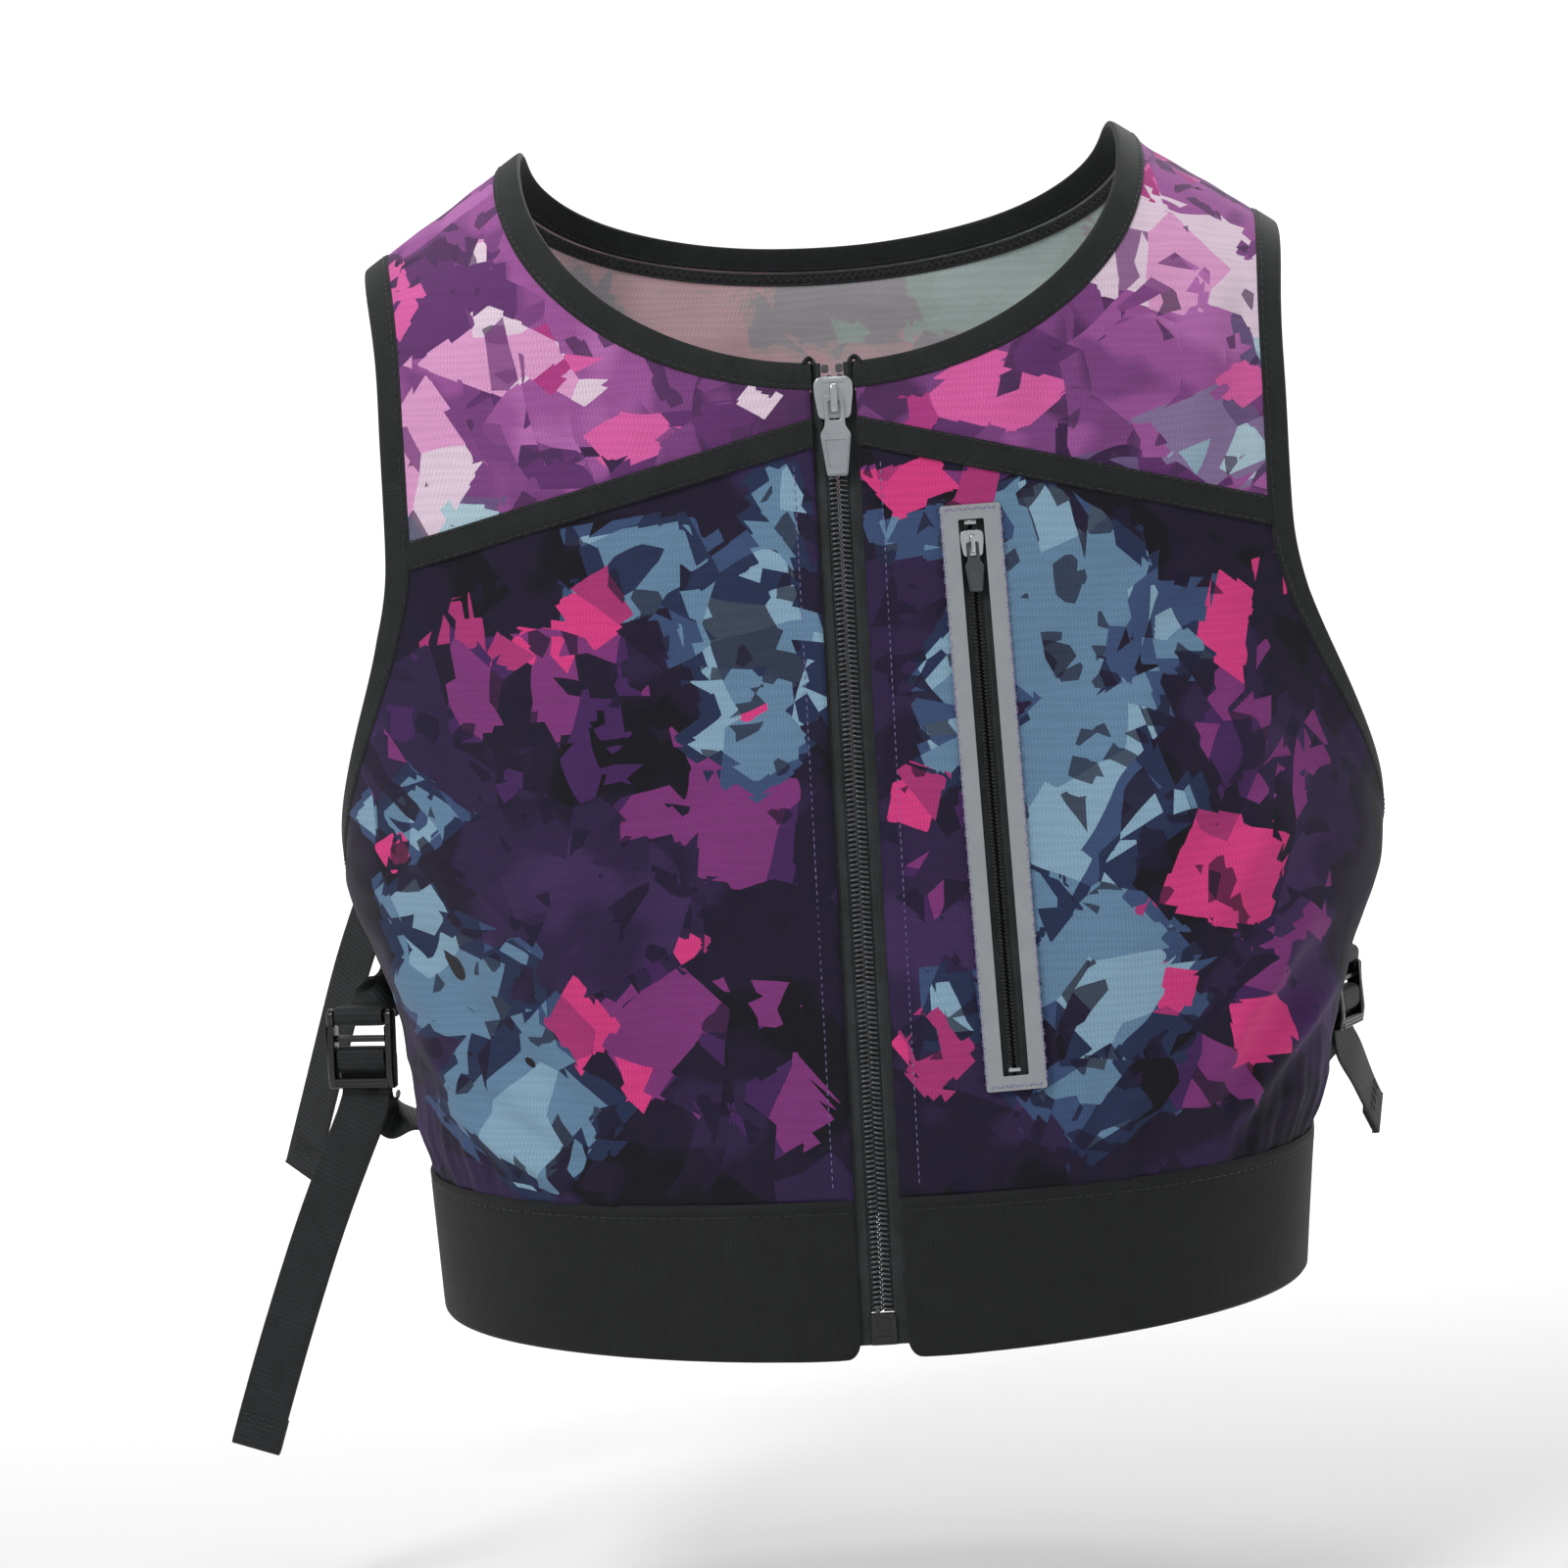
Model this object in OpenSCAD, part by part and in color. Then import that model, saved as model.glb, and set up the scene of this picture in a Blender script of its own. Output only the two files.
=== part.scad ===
// Cropped sleeveless sports safety vest with a front zip, a reflective chest pocket
// and two webbing adjusters on each side. It is shaped as it is worn.
// +Z is up, the front faces -Y, and +X is the wearer's left.
// The origin is midway between the two shoulder seats, where the wearer carries it.

/* [Body] */
// Half width of the vest at the bust
bust_half_width = 152; // [149:1:155]
// Half width of the vest at the waistband
hem_half_width = 128; // [125:1:131]
// Depth of the front at the neckline, ahead of the origin
neck_depth = 86; // [84:1:88]
// Depth of the front at the hem, ahead of the origin
hem_depth = 110; // [108:1:112]
// Extra fullness of each side of the bust
bust_swell = 9; // [6:1:11]
// Fabric thickness of the panels
cloth = 0.8; // [0.7:0.1:0.9]

/* [Heights below the shoulder seats] */
// Drop of the front neckline
neck_drop = 51; // [50:1:53]
// Drop of the back neckline
back_neck_drop = 13; // [11:1:15]
// Drop of the bottom of the armhole
armhole_drop = 190; // [188:1:192]
// Drop of the waistband's top edge
waist_drop = 277; // [275:1:279]
// Height of the waistband
waistband_height = 40; // [38:1:40]

/* [Edges] */
// Half width of the neck opening at the shoulders
neck_half_width = 85; // [84:1:87]
// Width of the neck and armhole bindings
binding_width = 7.2; // [6.8:0.1:7.4]
// Width of the tape over the seam between yoke and front panel
yoke_tape_width = 8; // [7:0.5:8.5]

/* [Main zip] */
// Width of the interlocked coils
chain_width = 5.8; // [5.6:0.1:6]
// Distance of the panels' edges from the middle of the zip
panel_edge = 6.2; // [6.1:0.1:6.6]
// Length of the zip
zip_length = 266; // [264:1:267]

/* [Chest pocket] */
// Width of the reflective frame
pocket_width = 16.6; // [16:0.1:18]
// Height of the reflective frame
pocket_height = 159; // [150:1:160]
// Size of the pocket's slider compared with the main one
pocket_zip_scale = 0.62; // [0.58:0.01:0.64]

/* [Side adjusters] */
// Width of the webbing
webbing = 15; // [14.4:0.1:15]
// Thickness of the webbing
webbing_thickness = 1.2; // [1:0.1:1.2]

/* [Hidden] */
hem_z = -waist_drop - waistband_height;
section_power = 2.4;        // 2 would be an ellipse, higher is boxier
shoulder_flare = 8;         // widening of the section at the shoulder tips
shoulder_slope = 0.67;
strap_middle = 108;         // distance of the shoulder seats from the middle
arch_height = 58;           // height over which the fabric turns over the shoulder
ridge_y = 4;
spine_hem = 80;             // depth of the back at the hem
blade_swell = 16;           // extra depth of the back at the shoulder blades
nape_hollow = 20;           // how far the back comes forward again at the neck
bust_inner = 47;            // the bust's fullness starts here
bust_apex = 82;
bust_spread = 55;

seam_gap = 0.4;             // clearance between neighbouring cloth pieces
arm_top_drop = 100;         // the armhole widens below this drop
arm_angle_front = 53;       // angle of the armhole's edge on the chest, from the front
arm_angle_back = 127;
front_seam_angle = 88;      // side seam between front panel and gusset
back_seam_angle = 112;
band_seam_angle = 82;       // side seam of the waistband
waistband_inside = 0.7;
waistband_outside = 0.8;
arm_curve_power = 1.7;
arm_tip_x = 132;
arm_chest_x = 126;
binding_cut = binding_width + seam_gap;
yoke_seam_inner = -69.6;    // height of the yoke seam at the zip
yoke_seam_outer = -99;      // and at the armhole
yoke_seam_reach = 124;

zip_lean = atan((hem_depth - neck_depth) / (-hem_z - neck_drop));
zip_sink = 1.5;             // the chain runs this far behind the face of the panels
zip_tape_reach = 14;
zip_tape_thickness = 0.6;
coil_gap = 1;               // half the gap that the slider's post runs in
slider_drop = 4;            // top of the slider below the top of the zip
slider_length = 11.4;
pull_axis_height = 3.6;     // ahead of the chain's middle plane
pull_axis_drop = 6;         // below the top of the slider
box_height = 8.5;

pocket_x = 37.3;
pocket_z = -170.3;
pocket_yaw = 5.2;
pocket_roll = 1.1;
pocket_slot = 7;
pocket_tape_y = 1.75;       // the pocket's chain runs this far behind the panel's face
pocket_bag_depth = 4.4;     // behind the panel's face
pocket_lead = 7;            // top of the frame to the top of the slider

lock_half_width = 10.3;
lock_length = 21.5;
rail_width = 2.4;
anchor_bar_radius = 1.5;
loop_clearance = 0.3;
thread_end = 24;            // the threaded webbing leaves the lock here
thread_front_y = 0.9;
thread_back_y = 2.9;

// Each adjuster: position of the lock's anchor bar, turn of the lock, tilt of the tail,
// reach of the tail below its hinge, angle round the body at which its webbing is sewn on,
// and how far above the bar
upper_right = [[-144, 62, -170], -42, 26, 113, 131, 10];
lower_right = [[-148, 5, -234.5], -15, 22, 115, 98, 17];
upper_left = [[-153.5, 47, -178], -50, 6, 12, 122, 10];
lower_left = [[-145, 18, -234], -63, 48, 43, 101, 17];

// ---- The body that the cloth follows ----

function mix(a, b, t) = a + (b - a) * t;
function unit(v) = v / norm(v);
function smooth(a, b, v) = let (t = min(1, max(0, (v - a) / (b - a)))) t * t * (3 - 2 * t);

function half_width(z) = hem_half_width
    + (bust_half_width - hem_half_width) * smooth(-waist_drop + 15, -armhole_drop + 2, z)
    + shoulder_flare * smooth(-60, -10, z);
function zip_depth(z) = mix(neck_depth, hem_depth, (z + neck_drop) / (hem_z + neck_drop));
function spine_depth(z) = spine_hem + blade_swell * smooth(-300, -150, z)
    - nape_hollow * smooth(-100, 0, z);
function section(u) = pow(1 - pow(min(1, abs(u)), section_power), 1 / section_power);
function bust(x, z) = bust_swell * smooth(bust_inner, bust_apex, abs(x))
    * (1 - smooth(bust_apex + 10, bust_half_width, abs(x)))
    * exp(-pow((z + armhole_drop) / bust_spread, 2));
function ridge_z(x) = shoulder_slope * (strap_middle - abs(x));
function arch(h) = sqrt(1 - pow(1 - min(1, max(0, h) / arch_height), 2));

// Points on the front and back, from a place p = [x, z] in the front view
function front_point(p) = let (d = zip_depth(p.y) * section(p.x / half_width(p.y)) + bust(p.x, p.y))
    [p.x, ridge_y - (ridge_y + d) * arch(ridge_z(p.x) - p.y), p.y];
function back_point(p) = let (d = spine_depth(p.y) * section(p.x / half_width(p.y)))
    [p.x, ridge_y + (d - ridge_y) * arch(ridge_z(p.x) - p.y), p.y];

// A place on the trunk from its angle round the body, 0 at the front and 180 at the back
function side_x(angle, z) = half_width(z) * sign(sin(angle)) * pow(abs(sin(angle)), 2 / section_power);
function around(angle, z) = cos(angle) > 0
    ? [side_x(angle, z), -zip_depth(z) * pow(cos(angle), 2 / section_power)
        - bust(side_x(angle, z), z), z]
    : [side_x(angle, z), spine_depth(z) * pow(-cos(angle), 2 / section_power), z];
function outward(angle, z) = unit(cross(around(angle + 0.5, z) - around(angle - 0.5, z),
    around(angle, z + 1) - around(angle, z - 1)));

// Distance below the shoulder ridge after a run over the shoulder, and its inverse
turn_run = arch_height * PI / 2;
function drop_after(run) = run < turn_run
    ? arch_height * (1 - cos(run / arch_height * 180 / PI))
    : arch_height + run - turn_run;
function run_to(drop) = drop < arch_height
    ? arch_height * acos(1 - drop / arch_height) * PI / 180
    : drop - arch_height + turn_run;

// ---- Outlines in the front view ----

// The neckline is a quarter of an ellipse, asked for by its drop below the ridge
function neck_curve(drop, reach, bottom) =
    let (fall = ridge_z(reach) - bottom, lean = shoulder_slope * reach, size = norm([lean, fall]),
        turn = acos(min(1, max(-1, (drop - lean) / size))) - atan2(lean, fall))
    [reach * sin(turn), ridge_z(reach) - fall * cos(turn)];
function neck_drop_at(x, reach, bottom) =
    let (fall = ridge_z(reach) - bottom, turn = asin(x / reach))
    shoulder_slope * reach * (1 - sin(turn)) + fall * cos(turn);
function neckline(inset, bottom, start_x, steps) =
    let (reach = neck_half_width + inset, low = bottom - inset,
        run = run_to(neck_drop_at(start_x, reach, low)))
    [for (i = [0 : steps]) neck_curve(drop_after(run * (1 - i / steps)), reach, low)];

// The armhole: straight over the shoulder, then curving round under the arm
function arm_x(drop, inset) = arm_chest_x - inset
    + (arm_tip_x - arm_chest_x) * pow(1 - min(1, drop / 45), 2);
function arm_fall(z) = pow(max(0, -arm_top_drop - z) / (armhole_drop - arm_top_drop), arm_curve_power);
function front_arm_angle(z, inset) =
    min(front_seam_angle, arm_angle_front - 0.67 * inset + (90 - arm_angle_front) * arm_fall(z));
function back_arm_angle(z, inset) =
    max(back_seam_angle, arm_angle_back + 0.35 * inset - 15.5 * arm_fall(z));
function arm_upper(inset, bottom_drop, steps) =
    [for (i = [0 : steps])
        let (drop = drop_after(run_to(bottom_drop) * (1 - i / steps)), x = arm_x(drop, inset))
        [x, ridge_z(x) - drop]];

function yoke_seam_z(x) =
    mix(yoke_seam_inner, yoke_seam_outer, (x - panel_edge) / (yoke_seam_reach - panel_edge));

// ---- Cloth solids ----

// A place between two outline points, spread evenly round the body and not across it
function angle_at(p) = asin(min(1, pow(max(0, p.x) / half_width(p.y), section_power / 2)));
function spread(a, b, t) =
    let (from = angle_at(a), to = angle_at(b), angle = mix(from, to, t),
        share = (side_x(angle, 0) - side_x(from, 0)) / (side_x(to, 0) - side_x(from, 0)))
    mix(a, b, share);
function front_grid(inner, outer, columns) = [for (i = [0 : len(inner) - 1])
    [for (j = [0 : columns]) front_point(spread(inner[i], outer[i], j / columns))]];
function back_grid(inner, outer, columns) = [for (i = [0 : len(inner) - 1])
    [for (j = [0 : columns]) back_point(spread(inner[i], outer[i], j / columns))]];
function opposite(row) = [for (p = row) [-p.x, p.y, p.z]];
function reversed(list) = [for (i = [len(list) - 1 : -1 : 0]) list[i]];

// Outward normal of a grid whose rows run down and whose columns run anticlockwise from above
function grid_normal(g, i, j) =
    let (rows = len(g) - 1, columns = len(g[0]) - 1,
        down = g[min(rows, i + 1)][j] - g[max(0, i - 1)][j],
        along = g[i][min(columns, j + 1)] - g[i][max(0, j - 1)])
    unit(cross(down, along));

// Solid between two distances above a grid; open_row is where a gap in the middle column ends
module sheet(g, low, high, open_row = 0) {
    rows = len(g);
    columns = len(g[0]);
    middle = columns / 2 - 1;
    layer = rows * columns;
    points = [for (height = [low, high]) for (i = [0 : rows - 1]) for (j = [0 : columns - 1])
        g[i][j] + height * grid_normal(g, i, j)];
    function id(k, i, j) = k * layer + i * columns + j;
    function filled(i, j) = i >= 0 && j >= 0 && i < rows - 1 && j < columns - 1
        && (j != middle || i >= open_row);
    function quad(a, b, c, d) = [[a, c, b], [a, d, c]];
    faces = [for (i = [0 : rows - 2]) for (j = [0 : columns - 2]) if (filled(i, j))
        for (face = concat(
            quad(id(0, i, j), id(0, i, j + 1), id(0, i + 1, j + 1), id(0, i + 1, j)),
            quad(id(1, i, j), id(1, i + 1, j), id(1, i + 1, j + 1), id(1, i, j + 1)),
            filled(i - 1, j) ? [] : quad(id(0, i, j), id(1, i, j), id(1, i, j + 1), id(0, i, j + 1)),
            filled(i + 1, j) ? []
                : quad(id(0, i + 1, j), id(0, i + 1, j + 1), id(1, i + 1, j + 1), id(1, i + 1, j)),
            filled(i, j - 1) ? []
                : quad(id(0, i, j), id(0, i + 1, j), id(1, i + 1, j), id(1, i, j)),
            filled(i, j + 1) ? []
                : quad(id(0, i, j + 1), id(1, i, j + 1), id(1, i + 1, j + 1), id(0, i + 1, j + 1))))
            face];
    polyhedron(points, faces);
}

module on_right() mirror([1, 0, 0]) children();

// ---- Panels of the left half; the right half is mirrored ----

front_rows = 16;

function panel_inner(x, top, bottom, rows) = [for (i = [0 : rows]) [x, mix(top, bottom, i / rows)]];
function panel_outer(inset, top, bottom, rows) = [for (i = [0 : rows])
    let (z = mix(top, bottom, i / rows)) [side_x(front_arm_angle(z, inset), z), z]];

module front_panel_shape(inner_x, inset, low, high, columns) {
    top_x = arm_chest_x - inset;
    bottom = -waist_drop + seam_gap;
    sheet(front_grid(
        panel_inner(inner_x, yoke_seam_z(inner_x) - seam_gap, bottom, front_rows),
        panel_outer(inset, yoke_seam_z(top_x) - seam_gap, bottom, front_rows), columns), low, high);
}

module front_panel() front_panel_shape(panel_edge, binding_cut, -cloth, 0, 12);

module front_panel_left() color("midnightblue") difference() {
    front_panel();
    at_pocket() cube([pocket_slot, 12, pocket_height - 6], center = true);
}

module front_panel_right() color("indigo") on_right() front_panel();

// The lining is sewn to the outer edge of the zip tape, and clears the pocket bag on the left
module front_lining(depth) front_panel_shape(zip_tape_reach + 1, binding_cut + 2, -depth - 0.6, -depth, 8);

module front_lining_left() color("dimgray") front_lining(7.4);
module front_lining_right() color("dimgray") on_right() front_lining(1.9);

module front_yoke() {
    steps = 9;
    chest_x = arm_chest_x - binding_cut;
    outer = arm_upper(binding_cut, ridge_z(chest_x) - yoke_seam_z(chest_x), steps + 1);
    inner = concat([[panel_edge, yoke_seam_inner]],
        neckline(binding_cut, -neck_drop, panel_edge, steps));
    sheet(front_grid(reversed(inner), reversed(outer), 6), -cloth, 0);
}

module front_yoke_left() color("orchid") front_yoke();
module front_yoke_right() color("orchid") on_right() front_yoke();

module yoke_tape() {
    outer_x = arm_chest_x - binding_cut;
    half = yoke_tape_width / 2;
    inner = [for (up = [half, 0, -half]) [panel_edge, yoke_seam_inner + up]];
    outer = [for (up = [half, 0, -half]) [outer_x, yoke_seam_z(outer_x) + up]];
    sheet(front_grid(inner, outer, 12), 0.35, 1.15);
}

module yoke_tape_left() color("black") yoke_tape();
module yoke_tape_right() color("black") on_right() yoke_tape();

module back_panel() {
    steps = 9;
    lower_rows = 9;
    middle_x = 0.6;
    bottom = -waist_drop + seam_gap;
    chest_z = -arm_top_drop;
    chest_x = side_x(back_arm_angle(chest_z, binding_cut), chest_z);
    neck_z = -back_neck_drop - binding_cut;
    inner = concat(reversed(neckline(binding_cut, -back_neck_drop, middle_x, steps)),
        [for (i = [1 : lower_rows]) [middle_x, mix(neck_z, bottom, i / lower_rows)]]);
    outer = concat(
        reversed(arm_upper(arm_chest_x - chest_x, ridge_z(chest_x) - chest_z, steps)),
        [for (i = [1 : lower_rows]) let (z = mix(chest_z, bottom, i / lower_rows))
            [side_x(back_arm_angle(z, binding_cut), z), z]]);
    grid = [for (row = back_grid(inner, outer, 8)) concat(reversed(row), opposite(row))];
    color("slategray") sheet(grid, -cloth, 0, steps);
}

module side_gusset() {
    sheet([for (i = [0 : 6]) [for (j = [0 : 5])
        let (top = mix(arm_low_front(binding_cut), arm_low_back(binding_cut), j / 5))
        around(mix(front_seam_angle + 0.5, back_seam_angle - 0.5, j / 5),
            mix(top, -waist_drop + seam_gap, i / 6))]], -cloth, 0);
}

module side_gusset_left() color("black") side_gusset();
module side_gusset_right() color("black") on_right() side_gusset();

// ---- Bindings ----

// One edge of the neck binding from the middle of the back to the zip
function neck_edge(inset) = concat(
    [for (p = neckline(inset, -back_neck_drop, 1, 12)) back_point(p)],
    [for (p = reversed(neckline(inset, -neck_drop, panel_edge, 14))) if (p.y < ridge_z(p.x) - 0.5)
        front_point(p)]);

module neck_binding() {
    edges = [neck_edge(0), neck_edge(binding_width)];
    half = [for (i = [0 : len(edges[0]) - 1]) [edges[0][i], edges[1][i]]];
    other_half = [for (row = reversed(half)) opposite(row)];
    color("black") sheet(concat(other_half, half), -cloth / 2 - 1.1, -cloth / 2 + 1.1);
}

// One edge of the armhole binding from the shoulder down the front, under the arm and up the back
function arm_low_front(inset) = -armhole_drop + 2.3 - 0.95 * inset;
function arm_low_back(inset) = -armhole_drop - 1 - inset;
function arm_edge(inset) =
    let (front_low = arm_low_front(inset), back_low = arm_low_back(inset),
        side_x_front = arm_x(200, inset), upper_front = ridge_z(side_x_front) + arm_top_drop,
        side_x_back = side_x(back_arm_angle(-arm_top_drop, inset), -arm_top_drop))
    concat(
        [for (p = reversed(arm_upper(inset, upper_front, 8))) front_point(p)],
        [for (i = [1 : 9]) let (z = mix(-arm_top_drop, front_low, i / 9))
            around(front_arm_angle(z, inset), z)],
        [for (i = [1 : 3])
            around(mix(front_seam_angle, back_seam_angle, i / 4), mix(front_low, back_low, i / 4))],
        [for (i = [0 : 8]) let (z = mix(back_low, -arm_top_drop, i / 9))
            around(back_arm_angle(z, inset), z)],
        [for (p = arm_upper(arm_chest_x - side_x_back, ridge_z(side_x_back) + arm_top_drop, 8))
            if (p.y < ridge_z(p.x) - 0.5) back_point(p)]);

module armhole_binding() {
    outer = arm_edge(0);
    inner = arm_edge(binding_width);
    sheet([for (i = [0 : len(outer) - 1]) [inner[i], outer[i]]], -cloth / 2 - 1.1, -cloth / 2 + 1.1);
}

module armhole_binding_left() color("black") armhole_binding();
module armhole_binding_right() color("black") on_right() armhole_binding();

// ---- Waistband ----

module waistband_front() {
    heights = [-waist_drop, -waist_drop - waistband_height / 2, hem_z];
    inner = [for (z = heights) [panel_edge + 0.3, z]];
    outer = [for (z = heights) [side_x(band_seam_angle, z), z]];
    sheet(front_grid(inner, outer, 12), -waistband_inside, waistband_outside);
}

module waistband_front_left() color("black") waistband_front();
module waistband_front_right() color("black") on_right() waistband_front();

module waistband_back() {
    steps = 30;
    seam = band_seam_angle + 0.3;
    color("black") sheet([for (z = [-waist_drop, -waist_drop - waistband_height / 2, hem_z])
        [for (j = [0 : steps]) around(mix(seam, 360 - seam, j / steps), z)]],
        -waistband_inside, waistband_outside);
}

// ---- Zips: z runs up the chain, -y is its face ----

module at_main_zip() translate([0, zip_sink - neck_depth, -neck_drop]) rotate([-zip_lean, 0, 0]) children();

module at_pocket() translate(front_point([pocket_x, pocket_z]))
    rotate([-zip_lean, -pocket_roll, pocket_yaw]) children();

module main_zip_tape() at_main_zip() difference() {
    translate([chain_width / 2 + 0.2, -zip_tape_thickness / 2, -zip_length])
        cube([zip_tape_reach - chain_width / 2 - 0.2, zip_tape_thickness, zip_length]);
    translate([0, -1, -zip_length - 1]) cube([4, 2, box_height + 1.5]);
    // Cut away under the end of the neck binding
    translate([panel_edge - 0.3, -1, -binding_cut]) cube([zip_tape_reach, 2, binding_cut + 1]);
}

module main_zip_tape_left() color("black") main_zip_tape();
module main_zip_tape_right() color("black") on_right() main_zip_tape();

module main_zip_coil() at_main_zip() translate([coil_gap, -1.2, -zip_length + box_height + 0.5])
    cube([chain_width / 2 - coil_gap, 2.4, zip_length - box_height - 3.5]);

module main_zip_coil_left() color("dimgray") main_zip_coil();
module main_zip_coil_right() color("dimgray") on_right() main_zip_coil();

module main_zip_top_stops() color("dimgray") for (side = [0, 1]) mirror([side, 0, 0])
    at_main_zip() translate([coil_gap, -1.1, -2.6]) cube([chain_width / 2 - coil_gap, 2.2, 2.2]);

// The box is a shell round the end of the pin
module main_zip_retainer_box() color("black") at_main_zip() difference() {
    translate([-3.5, -1.8, -zip_length]) cube([7, 3.6, box_height]);
    translate([-2.5, -1, -zip_length + 1.5]) cube([5, 2, box_height]);
}

module main_zip_insertion_pin() color("dimgray") at_main_zip()
    translate([-2.2, -0.8, -zip_length + 1.7]) cube([1.6, 1.6, box_height - 1.8]);

// Slider for a chain 5.8 mm wide, with its top at the origin
module slider_plate() translate([0, -1.6, 0]) rotate([90, 0, 0]) linear_extrude(0.9)
    polygon([[-4.1, 0], [4.1, 0], [5.3, -1.4], [5.3, -4.4], [4.3, -slider_length],
        [-4.3, -slider_length], [-5.3, -4.4], [-5.3, -1.4]]);

module slider_flange() translate([3.4, -1.7, -slider_length + 0.6])
    cube([0.85, 1.05, slider_length - 2.6]);

module slider_half() {
    slider_plate();
    slider_flange();
    mirror([1, 0, 0]) slider_flange();
}

module slider() {
    slider_half();
    mirror([0, 1, 0]) slider_half();
    translate([-0.7, -1.8, -3.4]) cube([1.4, 3.6, 2.6]);
    // Bridge that the pull hangs in
    translate([-0.9, -5.4, -10]) difference() {
        cube([1.8, 3, 8]);
        translate([-1, 0.8, 1]) cube([4, 3, 6]);
    }
}

// Pull with a round bar at its hinge
module pull() {
    rotate([90, 0, 0]) translate([0, 0, -0.5]) difference() {
        linear_extrude(1) polygon([[-2.6, 0.4], [2.6, 0.4], [2.8, -7.5], [4.2, -9.5], [2.8, -21],
            [-2.8, -21], [-4.2, -9.5], [-2.8, -7.5]]);
        translate([-1.5, -5.8, -1]) cube([3, 5, 3]);
    }
    rotate([0, 90, 0]) cylinder(r = 0.85, h = 5.2, center = true, $fn = 24);
}

module main_zip_slider() color("silver") at_main_zip() translate([0, 0, -slider_drop]) slider();

module main_zip_pull() color("darkgray") at_main_zip()
    translate([0, -pull_axis_height, -slider_drop - pull_axis_drop]) pull();

// ---- Chest pocket ----

module at_pocket_chain() at_pocket() translate([0, pocket_tape_y, pocket_height / 2]) children();

module pocket_reflective_frame() color("lightgray") at_pocket() translate([0, -0.45, 0])
    rotate([90, 0, 0]) linear_extrude(0.5) difference() {
        square([pocket_width, pocket_height], center = true);
        square([pocket_slot, pocket_height - 8], center = true);
    }

// The tape ends at the slot's edges, so that it clears the curved panel
module pocket_zip_tape() color("black") for (side = [0, 1]) at_pocket_chain() mirror([side, 0, 0])
    translate([2, -0.15, -pocket_height + 3.6]) cube([1.3, 0.3, pocket_height - 7.2]);

module pocket_zip_coils() color("black") for (side = [0, 1]) at_pocket_chain() mirror([side, 0, 0])
    translate([0.65, -0.7, -pocket_height + 7]) cube([1.1, 1.4, pocket_height - 13]);

module pocket_zip_stops() color("silver") at_pocket_chain() {
    for (z = [-5.4, -pocket_height + 4.8]) translate([-1.75, -0.7, z]) cube([3.5, 1.4, 1.2]);
}

module pocket_zip_slider() color("silver") at_pocket_chain() translate([0, 0, -pocket_lead])
    scale(pocket_zip_scale) slider();

module pocket_zip_pull() color("dimgray") at_pocket_chain()
    translate([0, -pull_axis_height * pocket_zip_scale, -pocket_lead - pull_axis_drop * pocket_zip_scale])
    scale(pocket_zip_scale) pull();

// Flat pouch between the panel and the lining
module pocket_bag() {
    rows = 10;
    top = pocket_z + pocket_height / 2 + 2;
    bottom = pocket_z - pocket_height / 2 - 6;
    color("dimgray") sheet(front_grid(panel_inner(pocket_x - 18, top, bottom, rows),
        panel_inner(pocket_x + 34, top, bottom, rows), 6), -pocket_bag_depth - 1, -pocket_bag_depth);
}

// ---- Side adjusters, described for the side at -X ----

function lock_point(a, p) = a[0]
    + [cos(a[1]) * p.x - sin(a[1]) * p.y, sin(a[1]) * p.x + cos(a[1]) * p.y, p.z];
module at_lock(a) translate(a[0]) rotate([0, 0, a[1]]) children();

// Outline of a band of webbing along a flat path
function band_normal(path, i) =
    let (a = path[max(0, i - 1)], b = path[i], c = path[min(len(path) - 1, i + 1)],
        u = a == b ? unit(c - b) : unit(b - a), v = c == b ? unit(b - a) : unit(c - b),
        n = unit([-u.y - v.y, u.x + v.x]))
    n / (n * [-u.y, u.x]);
function band(path, thickness) = concat(
    [for (i = [0 : len(path) - 1]) path[i] + band_normal(path, i) * thickness / 2],
    [for (i = [len(path) - 1 : -1 : 0]) path[i] - band_normal(path, i) * thickness / 2]);

// Extrudes an outline in the lock's y and z across its width
module across(width) translate([-width / 2, 0, 0]) rotate([90, 0, 90]) linear_extrude(width) children();

module lock_rail() translate([lock_half_width - rail_width / 2, 0, 0]) across(rail_width) {
    circle(2.2, $fn = 32);
    polygon([[2.2, 0], [1.8, -12], [1, -lock_length], [-2.6, -lock_length], [-3.4, -17], [-2.2, 0]]);
}

module ladder_lock() {
    span = 2 * lock_half_width - rail_width;
    lock_rail();
    mirror([1, 0, 0]) lock_rail();
    translate([-span / 2, 0, 0]) rotate([0, 90, 0]) cylinder(r = anchor_bar_radius, h = span, $fn = 32);
    translate([-span / 2, -1.2, -7.8]) cube([span, 2.6, 2]);
    translate([-span / 2, -1.2, -14.3]) cube([span, 2.4, 3]);
    translate([-span / 2, -2.9, -lock_length]) cube([span, 2.9, 3.4]);
}

// Webbing through the lock: up behind it, over its middle bar and out under its lip
module threaded_webbing() across(webbing - 0.2) polygon(band([[thread_back_y, -thread_end],
    [thread_back_y, -11.2], [1.6, -9.7], [-0.8, -9.6], [-2.2, -10.6], [-2.2, -15],
    [-1, -16.3], [thread_front_y, -17.2], [thread_front_y, -thread_end]], webbing_thickness));

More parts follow.
